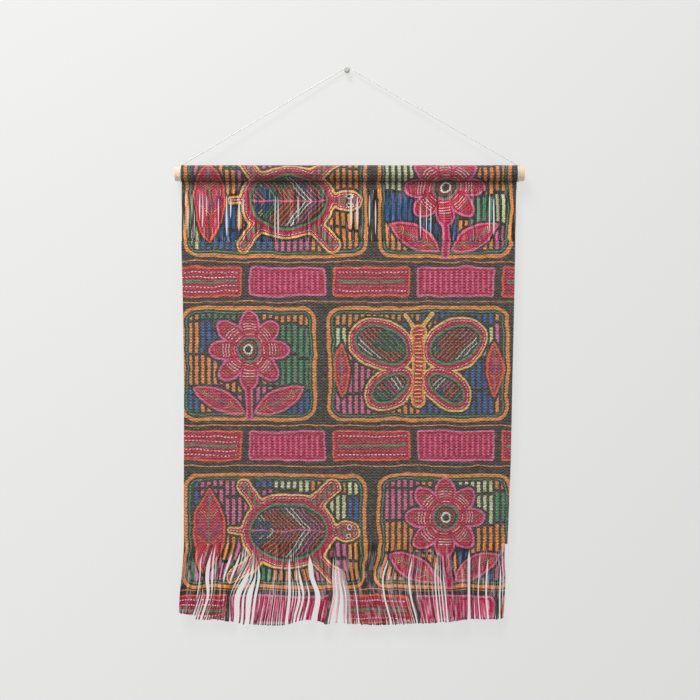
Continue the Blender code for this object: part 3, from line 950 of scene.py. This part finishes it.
CLOTH_EDGES = [
    Edge(-171, -296.2, 304.6), Edge(-321, -296.7, 301.6), Edge(-420, -294.2, 299.8),
    Edge(-573, -291.9, 296.4), Edge(-705, -292.2, 293.8), Edge(-853, -292.2, 288.0),
]
Fold = namedtuple("Fold", "x half_width top foot")
CLOTH_FOLDS = [
    Fold(-262, 42, 0.6, 4.0), Fold(-176, 60, -0.8, -2.6), Fold(-62, 74, 1.0, 3.2),
    Fold(58, 66, -0.6, -2.8), Fold(164, 70, 1.2, 3.0), Fold(258, 44, -0.4, -3.4),
]


def smooth_ramp(value):
    """0 before 0, 1 after 1 and a soft S between."""
    value = np.clip(value, 0.0, 1.0)
    return value * value * (3.0 - 2.0 * value)


def cloth_sides(z):
    """The cloth's left and right x at a height."""
    heights, lefts, rights = np.array(CLOTH_EDGES[::-1]).T * MM
    return np.interp(z, heights, lefts), np.interp(z, heights, rights)


def fold_height(x, z):
    """How far the hanging cloth stands out of its plane, towards the viewer."""
    below = DOWEL_CENTRE.z - DOWEL_RADIUS - z
    share = smooth_ramp(below / (DOWEL_CENTRE.z - LAST_WEFT_Z))
    height = 0.0
    for fold in CLOTH_FOLDS:
        reach = (x - fold.x * MM) / (fold.half_width * MM)
        crest = (fold.top + (fold.foot - fold.top) * share) * MM
        height = height + crest * np.exp(-reach * reach)
    return height * smooth_ramp((below - FOLDS_START) / FOLDS_START)


def print_v(z):
    """How far down the flat print a height of the hanging cloth lies."""
    return SEAM_V + SEAM_TO_OPENWORK + (OPENWORK_TOP_Z - z) / MM


def pocket_line():
    """The pocket's middle line in section, from the flap's raw edge to the openwork, as y and z."""
    around = DOWEL_RADIUS + CLEARANCE + CLOTH_THICKNESS / 2
    apart = (CLOTH_THICKNESS + LAYER_GAP) / 2
    turn_out = apart + POCKET_TURN_RADIUS
    turn_down = math.sqrt((around + POCKET_TURN_RADIUS) ** 2 - turn_out**2)
    meets = math.atan2(-turn_down, turn_out)
    line = [(-apart, -turn_down - HEM_FLAP), (-apart, -turn_down)]
    for centre, radius, first, last in (
        ((-turn_out, -turn_down), POCKET_TURN_RADIUS, 0.0, -meets),
        ((0.0, 0.0), around, math.pi - meets, meets),
        ((turn_out, -turn_down), POCKET_TURN_RADIUS, math.pi + meets, math.pi),
    ):
        for a in np.linspace(first, last, 60)[1:]:
            line.append((centre[0] + radius * math.cos(a), centre[1] + radius * math.sin(a)))
    line = np.array(line)
    line[:, 1] *= np.where(line[:, 1] > 0.0, POCKET_LOOSE_ABOVE, POCKET_DRAWN_IN_BELOW)
    line = np.concatenate([line, [(apart, OPENWORK_TOP_Z - DOWEL_CENTRE.z)]])
    return np.stack([DOWEL_CENTRE.y - line[:, 0], DOWEL_CENTRE.z + line[:, 1]], axis=1)


def slubs(seed, ribs, columns):
    """How thick each rib is at each column, about 1, with long thick and thin places."""
    chance = np.random.default_rng(seed)
    rough = chance.normal(0.0, 1.0, (ribs + 1, columns + 12))
    kernel = np.hanning(7) / np.hanning(7).sum()
    smooth = np.array([np.convolve(row, kernel, mode="valid") for row in rough])[:, :columns]
    return 1.0 + 0.42 * smooth + chance.normal(0.0, 0.14, (ribs + 1, 1))


def quads(grid):
    """The faces of a grid of point numbers."""
    corners = [grid[:-1, :-1], grid[1:, :-1], grid[1:, 1:], grid[:-1, 1:]]
    return np.stack(corners, axis=2).reshape(-1, 4).tolist()


def edge_faces(front, back, step):
    """Faces that close a sheet's edge, with some front points to each back point."""
    front, back = front.tolist(), back.tolist()
    return [
        (*front[i * step:(i + 1) * step + 1], back[i + 1], back[i]) for i in range(len(back) - 1)
    ]


def store(mesh, name, values):
    """Keeps a number or a vector at each point of a mesh."""
    kind, field = ("FLOAT", "value") if values.ndim == 1 else ("FLOAT_VECTOR", "vector")
    mesh.attributes.new(name, kind, "POINT").data.foreach_set(field, values.reshape(-1))


def woven_sheet(name, section, normals, flat_v, first_rib, seed, sides_z, folded, material):
    """A closed sheet with ribs on its face and a plainer back, from its middle line in section."""
    rows, columns = len(section), FRONT_COLUMNS + 1
    rib_place = np.arange(rows) / ROWS_A_RIB
    ribs = (rows - 1) // ROWS_A_RIB
    crest = 0.5 - 0.5 * np.cos(2 * np.pi * rib_place)
    thick = slubs(seed, ribs, columns)[np.minimum(rib_place.astype(int), ribs)]
    relief = RIB_RELIEF * (crest[:, None] * thick - 0.5) + HALF_SHEET
    left, right = cloth_sides(sides_z)
    turn = SELVEDGE_TURN * crest
    x = np.linspace(left - turn, right + turn, columns, axis=1)
    y, z = (np.broadcast_to(line[:, None], x.shape) for line in section.T)
    middle = np.stack([x, y - fold_height(x, z) * folded[:, None], z], axis=2)
    outward = np.pad(normals, ((0, 0), (1, 0)))[:, None]
    coarse = (slice(None, None, ROWS_A_RIB), slice(None, None, COLUMNS_A_BACK_COLUMN))
    front = middle + outward * relief[:, :, None]
    back = (middle - outward * HALF_SHEET)[coarse]

    here = np.arange(rows * columns).reshape(rows, columns)
    behind = here.size + np.arange(back.size // 3).reshape(back.shape[:2])
    faces = quads(here) + quads(behind.T)
    faces += edge_faces(here[::-1, 0], behind[::-1, 0], ROWS_A_RIB)
    faces += edge_faces(here[:, -1], behind[:, -1], ROWS_A_RIB)
    faces += edge_faces(here[0], behind[0], COLUMNS_A_BACK_COLUMN)
    faces += edge_faces(here[-1, ::-1], behind[-1, ::-1], COLUMNS_A_BACK_COLUMN)
    points = np.concatenate([front.reshape(-1, 3), back.reshape(-1, 3)])
    cloth = smooth_piece(name, points, faces, material)
    cloth.data.set_sharp_from_angle(angle=math.radians(65))
    down, across_ribs = (
        np.broadcast_to(line[:, None], x.shape) for line in (flat_v, rib_place + first_rib)
    )
    flat = np.stack([x / MM, down, across_ribs], axis=2)
    flat = np.concatenate([flat.reshape(-1, 3), flat[coarse].reshape(-1, 3)])
    store(cloth.data, "flat_place", flat)
    store(cloth.data, "reverse", (np.arange(len(points)) >= here.size).astype(float))
    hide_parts("panel")
    return cloth


def printed_cotton():
    """Printed ribbed cotton: dye on the ribs, painted shade and pale fibre between them, a pale
    reverse, painted shade under the dowel and a painted shadow along the seam's crease.
    """
    cotton, tree, shader = new_finish("printed_ribbed_cotton", {
        "Roughness": 0.92, "Specular IOR Level": 0.12, "Sheen Weight": 0.06, "Sheen Roughness": 0.5,
    })
    flat = Spot(tree, stored(tree, "flat_place"))
    reverse = Measure(tree, stored(tree, "reverse", "Fac"))
    u, v, rib = flat.parts()
    weft = rib.count()
    groove = (rib * (2 * math.pi)).work("COSINE") * 0.5 + 0.5
    groove = groove * groove
    bead = (u * (math.pi / WARP_PITCH) + weft * math.pi).work("SINE") * (1.0 - groove)
    pair = (rib * math.pi).work("COSINE")
    nap = bead * 0.5 + 0.5
    slub = cloudy(together(u * 0.11, weft * 3.7), 1.0, 3.0)
    fine = cloudy(together(u * 0.42, v * 0.55), 1.0, 3.0)
    bits = cloudy(together(u * 0.2, weft * 5.3), 1.0, 3.0)
    pale_bits = ((bits - 0.64) * 12.0).up_to(1.0)

    dye = printed_on(flat)
    dye.lay((186, 168, 158), nap * nap * 0.1)
    # Between the ribs a mid-tone: pale warp fibre that shows there lightens the dark dyes, and
    # painted shade darkens the bright ones.
    dye.lay((104, 92, 88), groove * 0.35)
    dye.lay((206, 200, 204), pale_bits * groove * 0.5 + 0.035)
    dye.lay((214, 204, 188), reverse * (0.58 + nap * 0.2 + (slub - 0.5) * 0.9))
    # Slub and fine are the yarn's own uneven tone; the bead, groove and pair terms paint the light
    # and shade of the weave's relief.
    tone_and_painted_weave_shade = (slub - 0.5) * 1.2 + (fine - 0.5) + bead * 0.25 - groove * 0.15 - pair * 0.2
    dye.shade(1.0 + tone_and_painted_weave_shade)
    # Painted shade on the pocket's underside, under the dowel, darkest just above the seam.
    painted_shade_under_dowel = ((v - 6.0) / 30.0).up_to(1.0) * (SEAM_V + 1.0 - v).up_to(1.0)
    dye.shade(1.0 - painted_shade_under_dowel * 0.34)
    # A painted shadow line along the crease, just above the seam.
    painted_crease_shadow = abs(v + 1.6 - SEAM_V) * 0.36
    dye.lay((20, 16, 17), (1.0 - painted_crease_shadow * painted_crease_shadow).work("MULTIPLY", 0.5, clamp=True))
    tree.links.new(dye.colour, shader.inputs["Base Color"])
    height = bead * 0.5 + fine * 1.2 + slub * 0.9
    raise_surface(tree, shader, height.socket, 0.8, 0.0007)
    return cotton


cloth_finish = printed_cotton()
pocket_section, pocket_along = even_steps(pocket_line(), RIB / ROWS_A_RIB)
pocket_rows = len(pocket_section) // ROWS_A_RIB * ROWS_A_RIB
pocket_section, pocket_along = even_steps(pocket_line(), pocket_along[-1] / pocket_rows)
slope = np.gradient(pocket_section, axis=0)
slope /= np.linalg.norm(slope, axis=1)[:, None]
pocket_v = (pocket_along - pocket_along[-1]) / MM + SEAM_V + SEAM_TO_OPENWORK
pocket_section[:, 0] += SEAM_DIP * np.exp(-(((pocket_v - SEAM_V) / SEAM_DIP_REACH) ** 2))
below_seam = pocket_v > SEAM_V
pocket_sides_z = np.where(
    below_seam, np.minimum(pocket_section[:, 1], POCKET_SIDES_Z), CLOTH_EDGES[0].z * MM
)
pocket_cloth = woven_sheet(
    "pocket_cloth", pocket_section, np.stack([slope[:, 1], -slope[:, 0]], axis=1), pocket_v, 0, 11,
    pocket_sides_z, below_seam.astype(float), cloth_finish
)

body_rows = int(round((OPENWORK_FOOT_Z - LAST_WEFT_Z) / RIB)) * ROWS_A_RIB + 1
body_z = np.linspace(OPENWORK_FOOT_Z, LAST_WEFT_Z, body_rows)
body_cloth = woven_sheet(
    "body_cloth", np.stack([np.full(body_rows, FRONT_Y), body_z], axis=1),
    np.tile((-1.0, 0.0), (body_rows, 1)), print_v(body_z), 100, 12,
    body_z, np.ones(body_rows), cloth_finish
)

# The openwork and the fringe
# Bare printed warp, with no weft to hold it: a band of it under the pocket, parted here and there
# into slits, and the long fringe below the last weft, in uneven locks with undyed streaks.
YARNS = 164
YARN_SIDES = 10
UNDER_WEFT = 1.5 * MM
SLIT_SPREAD = 0.66
OPENWORK_STEP = 4.5 * MM
OPENWORK_FLATTEN = 0.42
FRINGE_STEP = 5.0 * MM
FRINGE_LEFT = -292.2 * MM
FRINGE_RIGHT = 282.5 * MM
FRINGE_FLATTEN = 0.55
FRINGE_ROOT_RADIUS = 1.95 * MM
FRINGE_ROOT_HELD = 22 * MM
GAP_OPENS_OVER = 25 * MM
LOCK_LIFT = 3.5 * MM
FOOT_TUFT = 5.2 * MM
PALE_LOCK = (-24.5 * MM, -10 * MM)
PALE_BELOW = 38 * MM
Slit = namedtuple("Slit", "x top foot width")
OPENWORK_SLITS = [
    Slit(-289.0, -218, -250, 2.4), Slit(-283.8, -232, -306, 2.6), Slit(-278.5, -220, -300, 2.2),
    Slit(-273.0, -240, -308, 2.4), Slit(-264.2, -218, -279, 3.9), Slit(-258.8, -219, -286, 4.1),
    Slit(-251.7, -226, -268, 3.2), Slit(-232.0, -230, -290, 2.4), Slit(-216.0, -226, -302, 3.9),
    Slit(-209.7, -230, -270, 3.0), Slit(-193.1, -228, -293, 3.6), Slit(-186.2, -228, -265, 3.0),
    Slit(-126.2, -228, -309, 3.8), Slit(-87.5, -226, -280, 2.2), Slit(8.9, -219, -290, 3.8),
    Slit(17.9, -226, -290, 3.8), Slit(41.0, -224, -286, 2.4), Slit(50.0, -232, -300, 2.4),
    Slit(132.0, -236, -309, 2.6), Slit(141.0, -230, -309, 2.8), Slit(150.0, -240, -306, 2.4),
    Slit(256.0, -224, -296, 3.2), Slit(262.4, -230, -300, 3.0),
]
PATH_DROPS = (0.0, 30 * MM, 60 * MM, 90 * MM, 132 * MM)
FRINGE_SIDE_PATHS = (
    (-292.2, -293.5, -296.0, -299.0, -301.5), (283.7, 283.6, 285.4, 284.3, 280.8),
)
OPEN_TO_THE_FOOT = 200
Gap = namedtuple("Gap", "path opens width closes", defaults=(OPEN_TO_THE_FOOT,))
FRINGE_GAPS = [
    Gap((-252.5, -261.0, -262.5, -267.0, -280.0), 7, 3.0, 112),
    Gap((-241.0, -249.5, -253.5, -251.0, -262.5), 16, 4.8),
    Gap((-234.0, -235.5, -237.0, -239.5, -252.5), 10, 2.7),
    Gap((-202.5, -212.0, -221.5, -223.0, -226.5), 9, 5.9, 80),
    Gap((-187.5, -197.0, -208.0, -214.5, -218.0), 10, 4.8, 82),
    Gap((-175.0, -177.5, -193.0, -207.0, -209.0), 40, 4.1),
    Gap((-168.5, -170.5, -180.0, -194.5, -197.0), 44, 9.6),
    Gap((-164.0, -165.0, -168.0, -178.5, -181.0), 57, 6.6),
    Gap((-160.0, -160.5, -158.5, -164.0, -169.5), 32, 5.4),
    Gap((-147.5, -148.0, -150.0, -154.5, -162.5), 78, 2.3),
    Gap((-102.5, -103.0, -103.0, -103.0, -107.0), 20, 4.8),
    Gap((-93.0, -93.0, -92.0, -86.0, -94.5), 70, 2.7),
    Gap((-88.0, -86.5, -82.0, -77.0, -86.5), 45, 3.6),
    Gap((-81.0, -79.5, -74.0, -67.0, -75.0), 54, 3.6),
    Gap((-67.0, -65.5, -62.5, -52.0, -57.0), 16, 10.7),
    Gap((-24.5, -23.5, -25.0, -23.5, -32.5), 14, 2.7),
    Gap((-17.0, -15.0, -10.5, -4.5, -4.5), 52, 5.4),
    Gap((4.5, 5.5, 9.0, 14.5, 19.5), 55, 2.9),
    Gap((76.0, 73.0, 64.5, 66.5, 77.0), 20, 4.4),
    Gap((118.0, 116.0, 111.5, 114.0, 124.0), 18, 3.0),
    Gap((159.0, 158.0, 156.5, 158.0, 162.0), 26, 2.7),
    Gap((171.0, 171.5, 174.0, 177.5, 181.0), 42, 2.2),
    Gap((192.0, 193.0, 195.0, 198.0, 201.0), 28, 2.2, 75),
    Gap((218.0, 218.0, 218.0, 218.0, 218.0), 5, 5.7),
    Gap((242.0, 239.5, 238.0, 237.0, 240.5), 7, 3.6),
    Gap((255.5, 254.0, 251.5, 251.0, 254.0), 21, 3.6),
    Gap((276.0, 276.0, 276.0, 275.0, 274.5), 34, 2.7),
]
Foot = namedtuple("Foot", "x drop")
FRINGE_FEET = [
    Foot(-302, 118), Foot(-275, 122.5), Foot(-269, 130), Foot(-236, 130), Foot(-220, 133),
    Foot(-200, 134.5), Foot(-182, 138.5), Foot(-123, 141.5), Foot(-105, 139), Foot(-87, 133),
    Foot(-62, 130), Foot(-48, 132), Foot(-37, 138), Foot(-16, 136), Foot(5, 138.5),
    Foot(59, 141), Foot(112, 137.5), Foot(178, 134.5), Foot(207, 130), Foot(280, 129.5),
]


def printed_warp():
    """Soft printed yarn: dye in streaks, bare cotton where it missed, painted shade of a fine
    twist, a pale back.
    """
    warp, tree, shader = new_finish(
        "printed_warp_yarn", {"Roughness": 0.9, "Specular IOR Level": 0.15, "Sheen Weight": 0.08}
    )
    flat = Spot(tree, stored(tree, "flat_place"))
    u, v, number = flat.parts()
    round_cos, round_sin, bare = Spot(tree, stored(tree, "yarn_turn")).parts()
    streak = cloudy(together(number * 5.7, v * 0.035), 1.0, 3.0)
    missed = ((streak - 0.50) * 3.0).up_to(1.0)
    worn_down = ((v - 695.0) * 0.0125).up_to(0.5)
    normal = Spot(tree, add_node(tree, "NewGeometry").outputs["Normal"])
    backward = normal.work("DOT_PRODUCT", (0.0, 0.9, 0.0), output=1)
    lay = v * (2 * math.pi / 4.2)
    ridge = round_sin * lay.work("COSINE") + round_cos * lay.work("SINE")
    own_tone = cloudy(together(number * 3.1, v * 0.01), 1.0, 1.0)
    fibre = cloudy(together(u * 0.9, v * 0.3), 1.0, 3.0)

    dye = printed_on(flat)
    dye.lay((232, 200, 206), missed.most(bare) * (worn_down + 0.18))
    dye.lay((214, 200, 188), (backward - 0.2).up_to(0.55))
    # The ridge term paints the light and shade of the twist; own tone and fibre are the yarn's
    # random tone.
    tone = 1.0 + ridge * 0.2 + (own_tone - 0.5) * 2.2 + (fibre - 0.5) * 1.2
    dye.shade(tone.most(0.2))
    tree.links.new(dye.colour, shader.inputs["Base Color"])
    raise_surface(tree, shader, ridge.socket, 0.6, 0.0005)
    return warp


def eased(at, knots, values):
    """A value read along a smooth line through a few given ones."""
    knots, values = np.array(knots, float), np.array(values, float)
    slopes = np.gradient(values, knots)
    i = int(np.clip(np.searchsorted(knots, at) - 1, 0, len(knots) - 2))
    span = knots[i + 1] - knots[i]
    t = np.clip((at - knots[i]) / span, 0.0, 1.3)
    return bent_between(t, values[i], slopes[i] * span, values[i + 1], slopes[i + 1] * span)


def spread_apart(roots, parted, left, right):
    """Where each warp lies between the sheet's sides once the openings have pushed it aside."""
    known, places = [left[0]], [left[1]]
    for root, middle, half in parted:
        known += [root - CLEARANCE, root + CLEARANCE]
        places += [middle - half, middle + half]
    return np.interp(roots, known + [right[0]], places + [right[1]])


def warp_yarns(name, yarns, flatten, material):
    """Many flattened yarns in one mesh. Each is its line down, radii, root, number and bareness."""
    turns = -np.linspace(0.0, 2 * np.pi, YARN_SIDES, endpoint=False)
    runs, flats, twists = [], [], []
    for line, radii, root, number, bare in yarns:
        steps = len(line)
        sides, ups = np.zeros((2, steps, 3))
        sides[:, 0], ups[:, 1] = 1.0, -flatten
        runs.append((line, sides, ups, radii[:, None]))
        across = root + np.cos(turns) * radii[:, None]
        down = np.repeat(print_v(line[:, 2]), YARN_SIDES)
        flats.append(np.stack([across.reshape(-1) / MM, down, np.full(down.shape, number)], axis=1))
        twist = [np.tile(np.cos(2 * turns), steps), np.tile(np.sin(2 * turns), steps)]
        twists.append(np.stack([*twist, np.repeat(bare, YARN_SIDES)], axis=1))
    warp = smooth_piece(name, *tubes(runs, YARN_SIDES, halved_from=1), material)
    store(warp.data, "flat_place", np.concatenate(flats))
    store(warp.data, "yarn_turn", np.concatenate(twists))
    return warp


warp_finish = printed_warp()
chance = np.random.default_rng(21)
yarn_shares = (np.arange(YARNS) + 0.5) / YARNS

open_steps = int(round((OPENWORK_TOP_Z - OPENWORK_FOOT_Z) / OPENWORK_STEP)) + 1
open_z = np.linspace(OPENWORK_TOP_Z + UNDER_WEFT, OPENWORK_FOOT_Z - UNDER_WEFT, open_steps)
top_left, top_right = cloth_sides(OPENWORK_TOP_Z)
open_roots = top_left + (top_right - top_left) * yarn_shares
open_places = []
for z in open_z:
    parted = []
    for slit in OPENWORK_SLITS:
        share = np.clip((slit.top * MM - z) / ((slit.top - slit.foot) * MM), 0.0, 1.0)
        half = slit.width * MM * SLIT_SPREAD * max(math.sin(math.pi * share), 0.0) ** 0.55
        parted.append((slit.x * MM, slit.x * MM, half))
    left, right = cloth_sides(z)
    open_places.append(spread_apart(open_roots, parted, (top_left, left), (top_right, right)))
open_yarns = []
for i, root in enumerate(open_roots):
    sway = 0.18 * MM * np.sin(open_z / (9 * MM) + chance.uniform(0, 6.3))
    x = np.array(open_places)[:, i] + sway
    y = FRONT_Y - fold_height(x, open_z) + chance.normal(0, 0.15 * MM)
    radii = np.full(open_steps, chance.normal(1.86, 0.08) * MM)
    open_yarns.append((np.stack([x, y, open_z], axis=1), radii, root, i, np.zeros(open_steps)))
openwork = warp_yarns("openwork_warp", open_yarns, OPENWORK_FLATTEN, warp_finish)
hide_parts("panel")

fringe_roots = FRINGE_LEFT + (FRINGE_RIGHT - FRINGE_LEFT) * yarn_shares
lock_lifts = chance.uniform(-LOCK_LIFT, LOCK_LIFT, len(FRINGE_GAPS) + 1)
lock_of = np.searchsorted([gap.path[0] * MM for gap in FRINGE_GAPS], fringe_roots)


def fringe_places(drop):
    """Where every yarn of the fringe hangs at a drop below the last weft."""
    parted = []
    for gap in FRINGE_GAPS:
        opened = smooth_ramp((drop - gap.opens * MM) / GAP_OPENS_OVER)
        closed = smooth_ramp((gap.closes * MM - drop) / GAP_OPENS_OVER)
        middle = eased(drop, PATH_DROPS, gap.path) * MM
        parted.append((gap.path[0] * MM, middle, gap.width * MM / 2 * opened * closed))
    left, right = (eased(drop, PATH_DROPS, path) * MM for path in FRINGE_SIDE_PATHS)
    return spread_apart(fringe_roots, parted, (FRINGE_LEFT, left), (FRINGE_RIGHT, right))


foot_drops = np.interp(fringe_places(PATH_DROPS[-1]) / MM, *np.array(FRINGE_FEET).T) * MM
fringe_steps = int(round(140 * MM / FRINGE_STEP)) + 1
grid_drops = np.linspace(-3 * MM, 145 * MM, 60)
grid_places = np.array([fringe_places(max(drop, 0.0)) for drop in grid_drops])
fringe_yarns = []
for i, root in enumerate(fringe_roots):
    length = foot_drops[i] + FOOT_TUFT + chance.normal(0.0, 0.5 * MM)
    drops = np.linspace(-2 * MM, length, fringe_steps)
    share = np.clip(drops / foot_drops[i], 0.0, 1.0)
    sway = chance.normal(0, 0.55 * MM) * share * np.sin(drops / (26 * MM) + chance.uniform(0, 6.3))
    x = np.interp(drops, grid_drops, grid_places[:, i]) + sway
    lift = lock_lifts[lock_of[i]] * share * share
    stagger = (0.4 * MM if i % 2 else -0.4 * MM) * np.clip(drops / (20 * MM), 0, 1)
    shake = chance.normal(0, 0.35 * MM) * share
    y = FRONT_Y - fold_height(root, LAST_WEFT_Z) - lift + stagger + shake
    thinner = chance.uniform(1.5, 1.95) * MM - FRINGE_ROOT_RADIUS
    radii = FRINGE_ROOT_RADIUS + thinner * smooth_ramp(drops / FRINGE_ROOT_HELD)
    radii *= 1.0 - 0.22 * smooth_ramp((share - 0.97) / 0.03)
    pale = 1.1 * smooth_ramp((drops - PALE_BELOW) / (12 * MM))
    bare = pale if PALE_LOCK[0] < root < PALE_LOCK[1] else 0.0 * pale
    line = np.stack([x, y, LAST_WEFT_Z - drops], axis=1)
    fringe_yarns.append((line, radii, root, 400.0 + i, bare))
fringe = warp_yarns("fringe_yarns", fringe_yarns, FRINGE_FLATTEN, warp_finish)
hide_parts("fringe")

# The sewing
# One row of dark thread closes the pocket under the dowel. Loose ends of weft show as pale bits
# where the weaving starts again below the openwork.
SEAM_Z = -203.2 * MM
SEAM_MARGIN = 3 * MM
STITCH_LENGTH = 3.0 * MM
STITCH_PITCH = 4.2 * MM
STITCH_RADIUS = 0.32 * MM
STITCH_RISE = 0.5 * MM
WEFT_END_RADIUS = 0.42 * MM
WEFT_END_PLACES = ((-291, -262, 9), (-240, -150, 8), (-60, 20, 5), (120, 160, 9), (230, 292, 6))


def sewing_thread(name, colour):
    """Twisted thread with a slight lustre, mottled with painted shade of its twist."""
    thread, tree, shader = new_finish(name, {"Roughness": 0.6})
    place = add_node(tree, "TexCoord").outputs["Object"]
    twist = add_node(tree, "TexNoise", {"Vector": place, "Scale": 2200.0}).outputs["Fac"]
    lit = ink(colour)
    # A half-dark copy of the thread's colour, mixed in by a fine noise: painted shade of the twist.
    thread_in_painted_shade = (*[c * 0.5 for c in lit[:3]], 1.0)
    tree.links.new(mixed(tree, twist, thread_in_painted_shade, lit), shader.inputs["Base Color"])
    return thread


def thread_bits(name, lines, radius, material):
    """Short pieces of thread, each a bent line that thins at its ends."""
    runs = []
    for line in lines:
        radii = np.full((len(line), 1), radius)
        radii[[0, -1]] *= 0.5
        runs.append((line, *across_line(line), radii))
    piece = smooth_piece(name, *tubes(runs, 6), material)


stitches = []
seam_left, seam_right = cloth_sides(SEAM_Z)
for i in range(int((seam_right - seam_left - 2 * SEAM_MARGIN) / STITCH_PITCH)):
    shares = np.linspace(0.0, 1.0, 5)
    x = seam_left + SEAM_MARGIN + i * STITCH_PITCH + shares * STITCH_LENGTH
    rise = np.sin(np.pi * shares) * STITCH_RISE
    y = FRONT_Y + SEAM_DIP - HALF_SHEET - rise - fold_height(x, SEAM_Z)
    z = np.full(5, SEAM_Z + chance.normal(0, 0.15 * MM))
    stitches.append(np.stack([x, y, z], axis=1))
thread_bits("seam_stitches", stitches, STITCH_RADIUS, sewing_thread("dark_thread", (52, 44, 46)))

weft_ends = []
for first, last, count in WEFT_END_PLACES:
    for middle in chance.uniform(first, last, count):
        length = chance.uniform(1.6, 4.5) * MM
        shares = np.linspace(-0.5, 0.5, 4)
        x = middle * MM + shares * length
        z = OPENWORK_FOOT_Z + chance.uniform(-1.6, 0.8) * MM
        z = z + shares * chance.uniform(-1.4, 1.4) * MM
        proud = HALF_SHEET + 0.45 * MM + 0.2 * MM * np.cos(shares * 3)
        y = FRONT_Y - proud - fold_height(x, OPENWORK_FOOT_Z)
        weft_ends.append(np.stack([x, y, z], axis=1))
thread_bits(
    "loose_weft_ends", weft_ends, WEFT_END_RADIUS, sewing_thread("bare_weft", (214, 204, 190))
)
